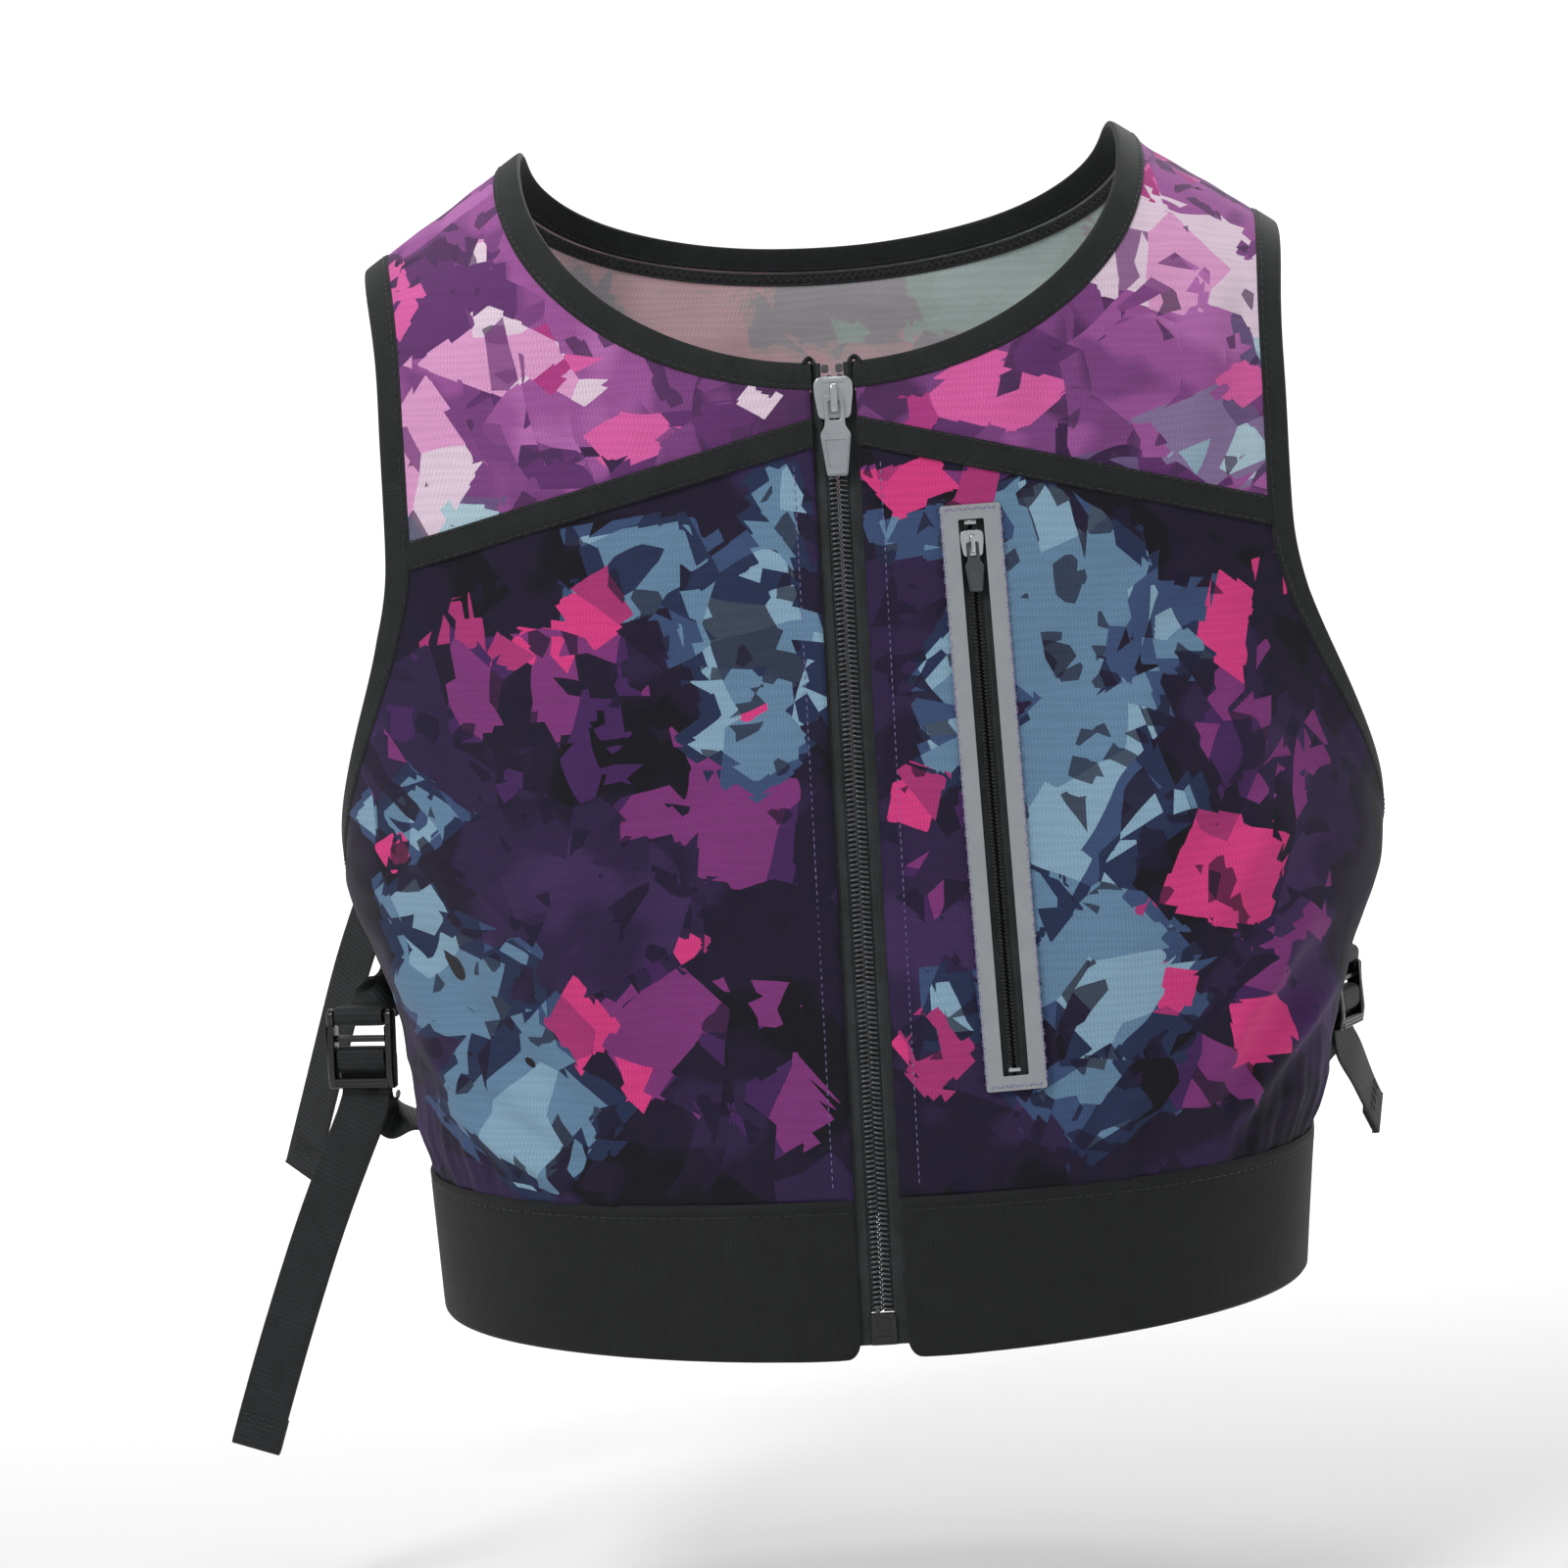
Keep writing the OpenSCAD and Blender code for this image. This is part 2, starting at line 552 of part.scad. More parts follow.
// The tail hangs from a rolled edge, which starts where its corners clear the threaded webbing
function tail_start(a) = webbing / 2 * tan(a[2]) + 1.1;
module strap_tail(a) at_lock(a) translate([0, thread_front_y, -thread_end - 0.6]) rotate([0, a[2], 0]) {
    translate([-webbing / 2, -webbing_thickness / 2, -a[3]])
        cube([webbing, webbing_thickness, a[3] - tail_start(a)]);
    translate([0, 0, -tail_start(a)]) rotate([0, 90, 0])
        cylinder(d = webbing_thickness, h = webbing, center = true, $fn = 24);
}

// Rows of a ribbon along a Bezier curve, whose width turns from one direction to another.
// lift moves it off the curve, along its own normal
function bezier(p, t) = pow(1 - t, 3) * p[0] + 3 * pow(1 - t, 2) * t * p[1]
    + 3 * (1 - t) * t * t * p[2] + pow(t, 3) * p[3];
function bezier_pace(p, t) = unit(pow(1 - t, 2) * (p[1] - p[0]) + 2 * (1 - t) * t * (p[2] - p[1])
    + t * t * (p[3] - p[2]));
function ribbon_row(middle, w) = [middle - w * webbing / 2, middle, middle + w * webbing / 2];
function ribbon(p, from, to, steps, lift = 0) = [for (i = [0 : steps])
    let (t = i / steps, turned = unit(mix(from, to, smooth(0, 1, t))), pace = bezier_pace(p, t),
        w = unit(turned - (turned * pace) * pace))
    ribbon_row(bezier(p, t) + lift * cross(w, pace), w)];

// Sewing place of the webbing on the trunk, and the way its width lies there
function sewn_point(a, z, height) = let (p = around(a[4], z) + height * outward(a[4], z)) [-p.x, p.y, p.z];
function sewn_width(a, z) = let (v = unit(around(a[4] + 1, z) - around(a[4] - 1, z))) [-v.x, v.y, v.z];
function lock_width(a) = [cos(a[1]), sin(a[1]), 0];

// Webbing sewn on as two layers that wrap the lock's anchor bar
module anchor_loop(a) {
    sewn_z = a[0].z + a[5];
    path = [lock_point(a, [0, 5, 0]), lock_point(a, [0, 9, 1]), sewn_point(a, sewn_z - 9, 3),
        sewn_point(a, sewn_z, 1.8)];
    radius = anchor_bar_radius + loop_clearance + webbing_thickness / 2;
    lift = webbing_thickness / 2 + 0.1;
    outgoing = ribbon(path, lock_width(a), sewn_width(a, sewn_z), 10, lift);
    returning = ribbon(path, lock_width(a), sewn_width(a, sewn_z), 10, -lift);
    wrap = [for (angle = [50 : 26 : 310])
        ribbon_row(lock_point(a, [0, radius * cos(angle), radius * sin(angle)]), lock_width(a))];
    sheet(concat(reversed(outgoing), wrap, returning), -webbing_thickness / 2, webbing_thickness / 2);
}

// Slack webbing between the lock and the place where it is sewn on
module strap(a) {
    sewn_z = a[0].z - 31;
    start = lock_point(a, [0, thread_back_y, -thread_end - 1]);
    path = [start, start - [0, 0, 16], sewn_point(a, sewn_z - 13, 8), sewn_point(a, sewn_z, 1.6)];
    sheet(ribbon(path, lock_width(a), sewn_width(a, sewn_z), 14),
        -webbing_thickness / 2, webbing_thickness / 2);
}

module upper_lock_right() color("black") at_lock(upper_right) ladder_lock();
module lower_lock_right() color("black") at_lock(lower_right) ladder_lock();
module upper_lock_left() color("black") on_right() at_lock(upper_left) ladder_lock();
module lower_lock_left() color("black") on_right() at_lock(lower_left) ladder_lock();

module upper_anchor_loop_right() color("black") anchor_loop(upper_right);
module lower_anchor_loop_right() color("black") anchor_loop(lower_right);
module upper_anchor_loop_left() color("black") on_right() anchor_loop(upper_left);
module lower_anchor_loop_left() color("black") on_right() anchor_loop(lower_left);

module upper_strap_right() color("black") strap(upper_right);
module lower_strap_right() color("black") strap(lower_right);
module upper_strap_left() color("black") on_right() strap(upper_left);
module lower_strap_left() color("black") on_right() strap(lower_left);

module upper_threaded_webbing_right() color("black") at_lock(upper_right) threaded_webbing();
module lower_threaded_webbing_right() color("black") at_lock(lower_right) threaded_webbing();
module upper_threaded_webbing_left() color("black") on_right() at_lock(upper_left) threaded_webbing();
module lower_threaded_webbing_left() color("black") on_right() at_lock(lower_left) threaded_webbing();

module upper_strap_tail_right() color("black") strap_tail(upper_right);
module lower_strap_tail_right() color("black") strap_tail(lower_right);
module upper_strap_tail_left() color("black") on_right() strap_tail(upper_left);
module lower_strap_tail_left() color("black") on_right() strap_tail(lower_left);

front_panel_right();
front_panel_left();
front_lining_right();
front_lining_left();
front_yoke_right();
front_yoke_left();
yoke_tape_right();
yoke_tape_left();
back_panel();
side_gusset_right();
side_gusset_left();
neck_binding();
armhole_binding_right();
armhole_binding_left();
waistband_front_right();
waistband_front_left();
waistband_back();
main_zip_tape_right();
main_zip_tape_left();
main_zip_coil_right();
main_zip_coil_left();
main_zip_slider();
main_zip_pull();
main_zip_retainer_box();
main_zip_insertion_pin();
main_zip_top_stops();
pocket_reflective_frame();
pocket_zip_tape();
pocket_zip_coils();
pocket_zip_slider();
pocket_zip_pull();
pocket_zip_stops();
pocket_bag();
upper_lock_right();
upper_lock_left();
lower_lock_right();
lower_lock_left();
upper_anchor_loop_right();
upper_anchor_loop_left();
lower_anchor_loop_right();
lower_anchor_loop_left();
upper_strap_right();
upper_strap_left();
lower_strap_right();
lower_strap_left();
upper_threaded_webbing_right();
upper_threaded_webbing_left();
lower_threaded_webbing_right();
lower_threaded_webbing_left();
upper_strap_tail_right();
upper_strap_tail_left();
lower_strap_tail_right();
lower_strap_tail_left();
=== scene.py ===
# Visual model of a cropped sports safety vest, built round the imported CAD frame.
# Shapes are worked out in millimetres in the CAD's frame and stored in metres.
import math
import bmesh
import bpy
import numpy as np
from mathutils import Matrix, Vector


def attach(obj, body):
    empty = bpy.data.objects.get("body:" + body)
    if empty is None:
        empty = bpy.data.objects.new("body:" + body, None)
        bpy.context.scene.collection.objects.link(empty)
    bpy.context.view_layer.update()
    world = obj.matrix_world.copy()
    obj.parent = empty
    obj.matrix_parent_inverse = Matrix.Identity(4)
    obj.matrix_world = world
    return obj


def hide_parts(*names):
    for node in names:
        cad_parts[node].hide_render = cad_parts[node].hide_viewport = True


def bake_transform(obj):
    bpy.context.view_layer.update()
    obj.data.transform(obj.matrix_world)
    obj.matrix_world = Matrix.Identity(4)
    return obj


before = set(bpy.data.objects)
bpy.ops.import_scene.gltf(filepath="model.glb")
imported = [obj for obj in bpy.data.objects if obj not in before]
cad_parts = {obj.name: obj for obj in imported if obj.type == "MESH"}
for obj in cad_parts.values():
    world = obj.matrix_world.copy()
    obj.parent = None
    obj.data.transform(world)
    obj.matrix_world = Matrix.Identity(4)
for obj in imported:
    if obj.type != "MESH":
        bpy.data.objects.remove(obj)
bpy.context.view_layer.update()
scene = bpy.context.scene
MM = 0.001
SIDES = ("left", "right")

# ---- Camera ----

CAMERA_ROLL = 3.1
CAMERA_ELEVATION = 5.0
CAMERA_AT = (-19, -1195.4, -67.4)
CAMERA_LENS = 93.75
camera_data = bpy.data.cameras.new("camera")
camera_data.lens = CAMERA_LENS
camera_data.sensor_width = 36
camera = bpy.data.objects.new("camera", camera_data)
scene.collection.objects.link(camera)
camera.matrix_world = (
    Matrix.Translation(Vector(CAMERA_AT) * MM)
    @ Matrix.Rotation(math.radians(90 - CAMERA_ELEVATION), 4, "X")
    @ Matrix.Rotation(math.radians(-CAMERA_ROLL), 4, "Z"))
scene.camera = camera

# ---- The body that the cloth follows, as in the CAD ----

WAIST_Z = -277
HEM_Z = -317
ARMHOLE_Z = -190
NECK_Z = -51
BACK_NECK_Z = -13
ARCH = 58            # radius of the turn over the shoulders
RIDGE_Y = 4          # where the shoulder ridge lies between the front and the back
SHOULDER_SLOPE = 0.67
SHOULDER_TOP_X = 108 # the sloping ridge passes height 0 here
NECK_REACH = 85      # half the neckline's width on the ridge
ARM_X = 126          # where the armhole's edge crosses the ridge
TRUNK_Z = -100       # below this the armhole's edges are given by angles round the body
PANEL_EDGE = 6.2     # from the middle to the panels' edges, beside the zip
ZIP_LENGTH = NECK_Z - HEM_Z
NECK_DEPTH = 86      # how far forwards the zip's top lies
ZIP_FORWARD = 24     # how much further forwards its bottom lies
BINDING = 7.2
BINDING_LAYER = 2.2
CLOTH = 0.8
POWER = 2.4          # roundness of the body's section: 2 would be an ellipse


def smooth(a, b, value):
    t = np.clip((value - a) / (b - a), 0, 1)
    return t * t * (3 - 2 * t)


def mix(a, b, t):
    return a + (b - a) * t


def unit(v):
    v = np.asarray(v, float)
    return v / np.maximum(np.linalg.norm(v, axis=-1, keepdims=True), 1e-9)


def half_width(z):
    return 128 + 24 * smooth(-262, -188, z) + 8 * smooth(-60, -10, z)


def zip_depth(z):
    return NECK_DEPTH + ZIP_FORWARD * (z - NECK_Z) / (HEM_Z - NECK_Z)


def spine_depth(z):
    return 80 + 16 * smooth(-300, -150, z) - 20 * smooth(-100, 0, z)


def section(u):
    return (1 - np.minimum(1, np.abs(u)) ** POWER) ** (1 / POWER)


def bust(x, z):
    x = np.abs(x)
    return (9 * smooth(47, 82, x) * (1 - smooth(92, 152, x))
            * np.exp(-((z - ARMHOLE_Z) / 55) ** 2))


def ridge(x):
    """Height of the shoulder ridge."""
    return SHOULDER_SLOPE * (SHOULDER_TOP_X - np.abs(x))


def arch(h):
    """Share of the full depth at a drop below the ridge."""
    return np.sqrt(1 - (1 - np.clip(h / ARCH, 0, 1)) ** 2)


def front_at(p):
    """Points on the front from their x and z."""
    x, z = p[..., 0], p[..., 1]
    depth = zip_depth(z) * section(x / half_width(z)) + bust(x, z)
    return np.stack([x, RIDGE_Y - (RIDGE_Y + depth) * arch(ridge(x) - z), z], -1)


def back_at(p):
    """Points on the back from their x and z."""
    x, z = p[..., 0], p[..., 1]
    depth = spine_depth(z) * section(x / half_width(z))
    return np.stack([x, RIDGE_Y + (depth - RIDGE_Y) * arch(ridge(x) - z), z], -1)


def side_x(angle, z):
    s = np.sin(np.radians(angle))
    return half_width(z) * np.sign(s) * np.abs(s) ** (2 / POWER)


def around(angle, z):
    """Points on the trunk at an angle from the front, towards the left."""
    angle, z = np.broadcast_arrays(np.asarray(angle, float), np.asarray(z, float))
    x = side_x(angle, z)
    c = np.cos(np.radians(angle))
    front = -zip_depth(z) * np.maximum(c, 0) ** (2 / POWER) - bust(x, z)
    back = spine_depth(z) * np.maximum(-c, 0) ** (2 / POWER)
    return np.stack([x, np.where(c > 0, front, back), z], -1)


def drop_after(run):
    """Drop below the ridge after a run over the shoulder; run_to is its inverse."""
    turn = ARCH * math.pi / 2
    return np.where(run < turn, ARCH * (1 - np.cos(run / ARCH)), ARCH + run - turn)


def run_to(drop):
    turn = ARCH * math.pi / 2
    inside = ARCH * np.arccos(np.clip(1 - drop / ARCH, -1, 1))
    return np.where(drop < ARCH, inside, drop - ARCH + turn)


def neckline(inset, bottom, start_x, steps):
    """Outline from the neck's lowest point up to the ridge, as x and z."""
    reach = NECK_REACH + inset
    low = bottom - inset
    fall = ridge(reach) - low
    lean = SHOULDER_SLOPE * reach
    turn = math.asin(start_x / reach)
    drop = lean * (1 - math.sin(turn)) + fall * math.cos(turn)
    drops = drop_after(run_to(drop) * (1 - np.linspace(0, 1, steps + 1)))
    turns = (np.arccos(np.clip((drops - lean) / math.hypot(lean, fall), -1, 1))
             - math.atan2(lean, fall))
    return np.stack([reach * np.sin(turns), ridge(reach) - fall * np.cos(turns)], -1)


def arm_fall(z):
    return (np.maximum(0, -100 - z) / 90) ** 1.7


def front_arm_angle(z, inset):
    """Angle round the body of the armhole's front edge."""
    return np.minimum(88, 53 - 0.67 * inset + 37 * arm_fall(z))


def back_arm_angle(z, inset):
    return np.maximum(112, 127 + 0.35 * inset - 15.5 * arm_fall(z))


def arm_upper(inset, bottom_drop, steps):
    """The armhole's edge from a drop below the ridge up to the ridge, as x and z."""
    drop = drop_after(run_to(bottom_drop) * (1 - np.linspace(0, 1, steps + 1)))
    x = ARM_X - inset + 6 * (1 - np.minimum(1, drop / 45)) ** 2
    return np.stack([x, ridge(x) - drop], -1)


def yoke_seam_z(x):
    return mix(-69.6, -99, (x - PANEL_EDGE) / (124 - PANEL_EDGE))


def spread(inner, outer, columns):
    """Rows of points between two outlines, spaced evenly round the body."""
    def angle_at(p):
        share = np.maximum(0, p[:, 0]) / half_width(p[:, 1])
        return np.degrees(np.arcsin(np.minimum(1, share ** (POWER / 2))))
    start, end = angle_at(inner)[:, None], angle_at(outer)[:, None]
    angle = mix(start, end, np.linspace(0, 1, columns + 1)[None])
    share = (side_x(angle, 0) - side_x(start, 0)) / (side_x(end, 0) - side_x(start, 0))
    return inner[:, None] + (outer - inner)[:, None] * share[..., None]


# The vest sits a little unevenly: how far each side stands out from the even shape, by height
UNEVEN_Z = [-330, -317, -276, -262, -244, -225, -210, -184, -120]
UNEVEN_RIGHT = [2, 2, 0, -3, -2, 4, 5, 4, 0]
UNEVEN_LEFT = [-2, -2, 2, 7, 8, 4, 4, 3, 0]


def settle(points):
    """The even shape, moved to how the vest sits in the photo; the back stays even."""
    x, y, z = points[..., 0], points[..., 1], points[..., 2]
    left = np.interp(z, UNEVEN_Z, UNEVEN_LEFT)
    right = np.interp(z, UNEVEN_Z, UNEVEN_RIGHT)
    behind = np.where(x > 0, smooth(-8, 10, y), smooth(18, 60, y))
    share = smooth(40, 130, np.abs(x)) * (1 - behind)
    moved = points.copy()
    moved[..., 0] += share * np.where(x > 0, left, right)
    return moved


# ---- Smooth noise and folds, in millimetres of cloth ----

def waves(seed, count, shortest, longest):
    """Waves of mixed lengths and directions, the longer ones higher."""
    r = np.random.default_rng(seed)
    length = shortest * (longest / shortest) ** r.random(count)
    angle = r.random(count) * 2 * math.pi
    return [(math.cos(a) / l, math.sin(a) / l, p, l / longest)
            for a, l, p in zip(angle, length, r.random(count) * 2 * math.pi)]


def ripple(x, z, wave_list):
    total = np.zeros_like(x)
    weight = 0
    for kx, kz, phase, size in wave_list:
        total += size * np.sin(2 * math.pi * (x * kx + z * kz) + phase)
        weight += size * size
    return total / math.sqrt(weight)


SOFT = waves(11, 14, 32, 90)
FINE = waves(12, 16, 9, 24)


def crease(x, z, start, end, width, depth):
    """A fold between two places: a raised ridge beside a soft valley, fading at both ends."""
    (x0, z0), (x1, z1) = start, end
    length = math.hypot(x1 - x0, z1 - z0)
    ux, uz = (x1 - x0) / length, (z1 - z0) / length
    along = ((x - x0) * ux + (z - z0) * uz) / length
    off = ((x - x0) * -uz + (z - z0) * ux
           + 0.05 * length * np.sin(along * math.pi)) / width
    fade = smooth(0, 0.3, along) * (1 - smooth(0.7, 1, along))
    return depth * fade * (np.exp(-off ** 2) - 0.7 * np.exp(-(off - 1.7) ** 2 / 1.6))


CREASES = [
    ((-140, -196), (-76, -268), 6, 2.4), ((-132, -222), (-84, -272), 4.5, 1.9),
    ((-124, -246), (-70, -276), 3.6, 1.4), ((-96, -196), (-48, -236), 8, 1.3),
    ((-128, -178), (-70, -190), 8, 1.3), ((-60, -150), (-22, -160), 6, 0.7),
    ((-120, -120), (-70, -138), 7, 0.9), ((-86, -232), (-28, -272), 6, 1.2),
    ((132, -206), (84, -268), 5.5, 2.0), ((140, -228), (96, -272), 4.2, 1.7),
    ((118, -150), (76, -196), 8, 1.3), ((104, -108), (70, -128), 6, 0.8),
    ((124, -176), (92, -214), 6, 1.3), ((96, -236), (60, -274), 4.5, 1.1),
]
YOKE_CREASES = [
    ((-70, -40), (-30, -78), 6, 0.7), ((-110, -30), (-100, -86), 6, 0.9),
    ((72, -30), (40, -74), 6, 0.7), ((112, -24), (100, -90), 6, 0.9),
    ((96, -50), (60, -86), 5, 0.6),
]
BACK_CREASES = [
    ((-60, -120), (40, -150), 14, 1.4), ((-90, -200), (-20, -240), 12, 1.8),
    ((90, -190), (10, -236), 12, 1.8), ((-100, -150), (-60, -230), 9, 1.2),
    ((104, -140), (66, -220), 9, 1.2), ((-40, -60), (50, -70), 9, 1.1),
]


def edge_fade(grid, margins):
    """0 at the grid's edges and 1 further in, then the run along and down the grid; margins are
    for the top, bottom, first and last column."""
    def run(axis):
        step = np.linalg.norm(np.diff(grid, axis=axis), axis=-1)
        zero = np.zeros_like(np.take(step, [0], axis))
        return np.concatenate([zero, np.cumsum(step, axis)], axis)
    down, along = run(0), run(1)
    fade = np.ones(grid.shape[:2])
    for distance, margin in ((down, margins[0]), (down[-1:] - down, margins[1]),
                             (along, margins[2]), (along[:, -1:] - along, margins[3])):
        if margin:
            fade = fade * smooth(0, margin, distance)
    return fade, along, down


def cloth_place(grid, along):
    """Cloth coordinates: the run round the body from the middle, and the run down over the
    shoulder, which equals the height on the trunk."""
    h = np.maximum(0, ridge(grid[..., 0]) - grid[..., 2])
    over = h - run_to(h) + (math.pi / 2 - 1) * ARCH
    return along, grid[..., 2] + np.where(h < ARCH, over, 0)


def grid_normals(grid):
    n = np.cross(np.gradient(grid, axis=0), np.gradient(grid, axis=1))
    return unit(n)


def opposite(grid):
    return (grid * [-1, 1, 1])[:, ::-1]


def on_side(side, grid, *values):
    """A grid of the left half and its values, or their mirror image for the right one."""
    if side == "left":
        return (grid, *values)
    return (opposite(grid), *(v[:, ::-1] for v in values))


# ---- Meshes ----

def make_piece(name, points, faces, material, body, nodes=(), attributes=None, sharp=45):
    mesh = bpy.data.meshes.new(name)
    mesh.from_pydata((np.asarray(points) * MM).tolist(), [], faces)
    for key, values in (attributes or {}).items():
        values = np.asarray(values, float)
        if values.ndim == 1:
            mesh.attributes.new(key, "FLOAT", "POINT").data.foreach_set("value", values)
        elif values.shape[1] == 3:
            data = mesh.attributes.new(key, "FLOAT_VECTOR", "POINT").data
            data.foreach_set("vector", values.ravel())
        else:
            data = mesh.attributes.new(key, "FLOAT_COLOR", "POINT").data
            data.foreach_set("color", values.ravel())
    work = bmesh.new()
    work.from_mesh(mesh)
    bmesh.ops.recalc_face_normals(work, faces=work.faces)
    work.to_mesh(mesh)
    work.free()
    mesh.polygons.foreach_set("use_smooth", [True] * len(mesh.polygons))
    if sharp:
        mesh.set_sharp_from_angle(angle=math.radians(sharp))
    obj = bpy.data.objects.new(name, mesh)
    scene.collection.objects.link(obj)
    mesh.materials.append(material)
    if body:
        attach(obj, body)
    if nodes:
        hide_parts(*nodes)
    return obj


def shell(grid, low, high, keep=None):
    """Closed double-walled sheet on a grid; keep says which cells are there."""
    rows, cols = grid.shape[:2]
    n = grid_normals(grid)
    low = np.broadcast_to(low, (rows, cols))[..., None]
    high = np.broadcast_to(high, (rows, cols))[..., None]
    points = np.concatenate([(grid + n * high).reshape(-1, 3), (grid + n * low).reshape(-1, 3)])
    ids = np.arange(rows * cols).reshape(rows, cols)
    a, b, c, d = ids[:-1, :-1], ids[:-1, 1:], ids[1:, 1:], ids[1:, :-1]
    if keep is None:
        keep = np.ones(a.shape, bool)
    under = rows * cols
    faces = [np.stack([a, d, c, b], -1)[keep], np.stack([a, b, c, d], -1)[keep] + under]
    around_it = np.pad(keep, 1)
    for there, p, q in ((around_it[:-2, 1:-1], a, b), (around_it[2:, 1:-1], c, d),
                        (around_it[1:-1, :-2], d, a), (around_it[1:-1, 2:], b, c)):
        rim = keep & ~there
        faces.append(np.stack([p[rim], q[rim], q[rim] + under, p[rim] + under], -1))
    faces = np.concatenate(faces)
    used = np.unique(faces)
    renumber = np.zeros(len(points), int)
    renumber[used] = np.arange(len(used))
    return points[used], renumber[faces].tolist(), used


def on_both_faces(values, used):
    """Values of a grid's points, for the points of its shell."""
    return np.tile(values.reshape(-1, values.shape[-1]), (2, 1))[used]


def superellipse(width, thickness, power, count):
    """Rounded outline between an ellipse (power 2) and a rectangle."""
    t = np.linspace(0, 2 * math.pi, count, endpoint=False) + math.pi / count
    c, s = np.cos(t), np.sin(t)
    return np.stack([width / 2 * np.sign(c) * np.abs(c) ** (2 / power),
                     thickness / 2 * np.sign(s) * np.abs(s) ** (2 / power)], -1)


def sweep(centres, across, normals, profile, closed=False):
    """Tube of a profile along stations; the profile's first number runs across."""
    centres, across, normals = (np.asarray(v, float) for v in (centres, across, normals))
    count, sides = len(centres), len(profile)
    scales = np.asarray(profile, float)
    if scales.ndim == 2:
        scales = np.broadcast_to(scales, (count, sides, 2))
    else:
        sides = scales.shape[1]
    points = (centres[:, None] + across[:, None] * scales[..., :1]
              + normals[:, None] * scales[..., 1:]).reshape(-1, 3)
    ids = np.arange(count * sides).reshape(count, sides)
    turned = np.roll(ids, -1, axis=1)
    faces = np.stack([ids[:-1], ids[1:], turned[1:], turned[:-1]], -1).reshape(-1, 4).tolist()
    if closed:
        faces += np.stack([ids[-1], ids[0], turned[0], turned[-1]], -1).tolist()
    else:
        faces += [ids[0].tolist(), ids[-1][::-1].tolist()]
    return points, faces


def lengths(path):
    step = np.linalg.norm(np.diff(path, axis=0), axis=1)
    return np.concatenate([[0], np.cumsum(step)])


def resample(path, spacing):
    path = np.asarray(path, float)
    run = lengths(path)
    count = max(2, int(run[-1] / spacing) + 1)
    at = np.linspace(0, run[-1], count)
    return np.stack([np.interp(at, run, path[:, k]) for k in range(path.shape[1])], -1)


def rounded_path(path, spacing, passes):
    """Even points along a path, with its corners eased by averaging."""
    line = resample(path, spacing)
    for _ in range(passes):
        line[1:-1] = (line[:-2] + 2 * line[1:-1] + line[2:]) / 4
    return line


def tangents(path):
    return unit(np.gradient(np.asarray(path, float), axis=0))


class Parts:
    """Several closed solids gathered into one mesh."""

    def __init__(self):
        self.points, self.faces, self.flat = [], [], []
        self.count = 0

    def add(self, points, faces, flat=None):
        points = np.asarray(points, float)
        self.points.append(points)
        self.faces += [[i + self.count for i in face] for face in faces]
        self.flat.append(points if flat is None else np.asarray(flat, float))
        self.count += len(points)
        return self

    def plate(self, outlines, depth, bevel, y=0, **settings):
        points, faces = plate(outlines, depth, bevel, **settings)
        return self.add(points + [0, y, 0], faces)

    def turned(self, move):
        self.points = [move(p) for p in self.points]
        return self

    def make(self, name, material, body, slot, nodes=(), sharp=45, weighted=False):
        attributes = {"flat": np.concatenate(self.flat) * MM}
        obj = make_piece(name, np.concatenate(self.points), self.faces, material, body,
                         nodes, attributes, sharp)
        if weighted:
            modifier = obj.modifiers.new("weighted_normals", "WEIGHTED_NORMAL")
            modifier.keep_sharp = True
        return obj


def plate(outlines, depth, bevel, axes="xzy", resolution=2):
    """Bevelled plate with holes, from flat outlines; axes names where u, v and depth go."""
    curve = bpy.data.curves.new("plate", "CURVE")
    curve.dimensions = "2D"
    curve.fill_mode = "BOTH"
    curve.extrude = depth / 2 - bevel
    curve.bevel_depth = bevel
    curve.bevel_resolution = resolution
    curve.offset = -bevel
    for outline in outlines:
        spline = curve.splines.new("POLY")
        spline.points.add(len(outline) - 1)
        spline.points.foreach_set("co", [c for u, v in outline for c in (u, v, 0, 1)])
        spline.use_cyclic_u = True
    obj = bpy.data.objects.new("plate", curve)
    scene.collection.objects.link(obj)
    mesh = bpy.data.meshes.new_from_object(obj.evaluated_get(bpy.context.evaluated_depsgraph_get()))
    work = bmesh.new()
    work.from_mesh(mesh)
    bmesh.ops.remove_doubles(work, verts=work.verts, dist=1e-3)
    bmesh.ops.dissolve_degenerate(work, edges=work.edges, dist=1e-4)
    work.verts.index_update()
    points = np.array([tuple(v.co) for v in work.verts])
    faces = [[v.index for v in f.verts] for f in work.faces]
    work.free()
    bpy.data.objects.remove(obj)
    bpy.data.curves.remove(curve)
    bpy.data.meshes.remove(mesh)
    order = ["xyz".index(a) for a in axes]
    out = np.zeros_like(points)
    for source, target in enumerate(order):
        out[:, target] = points[:, source]
    return out, faces


def rounded(outline, radius, steps=4):
    """The outline with its corners rounded."""
    outline = np.asarray(outline, float)
    result = []
    for i, p in enumerate(outline):
        before, after = outline[i - 1] - p, outline[(i + 1) % len(outline)] - p
        cut = min(radius, 0.45 * np.linalg.norm(before), 0.45 * np.linalg.norm(after))
        a, b = p + unit(before) * cut, p + unit(after) * cut
        for t in np.linspace(0, 1, steps):
            result.append((1 - t) ** 2 * a + 2 * t * (1 - t) * p + t * t * b)
    return [tuple(r) for r in result]


def box_outline(x0, x1, z0, z1, radius=0.4):
    return rounded([(x0, z0), (x1, z0), (x1, z1), (x0, z1)], radius)


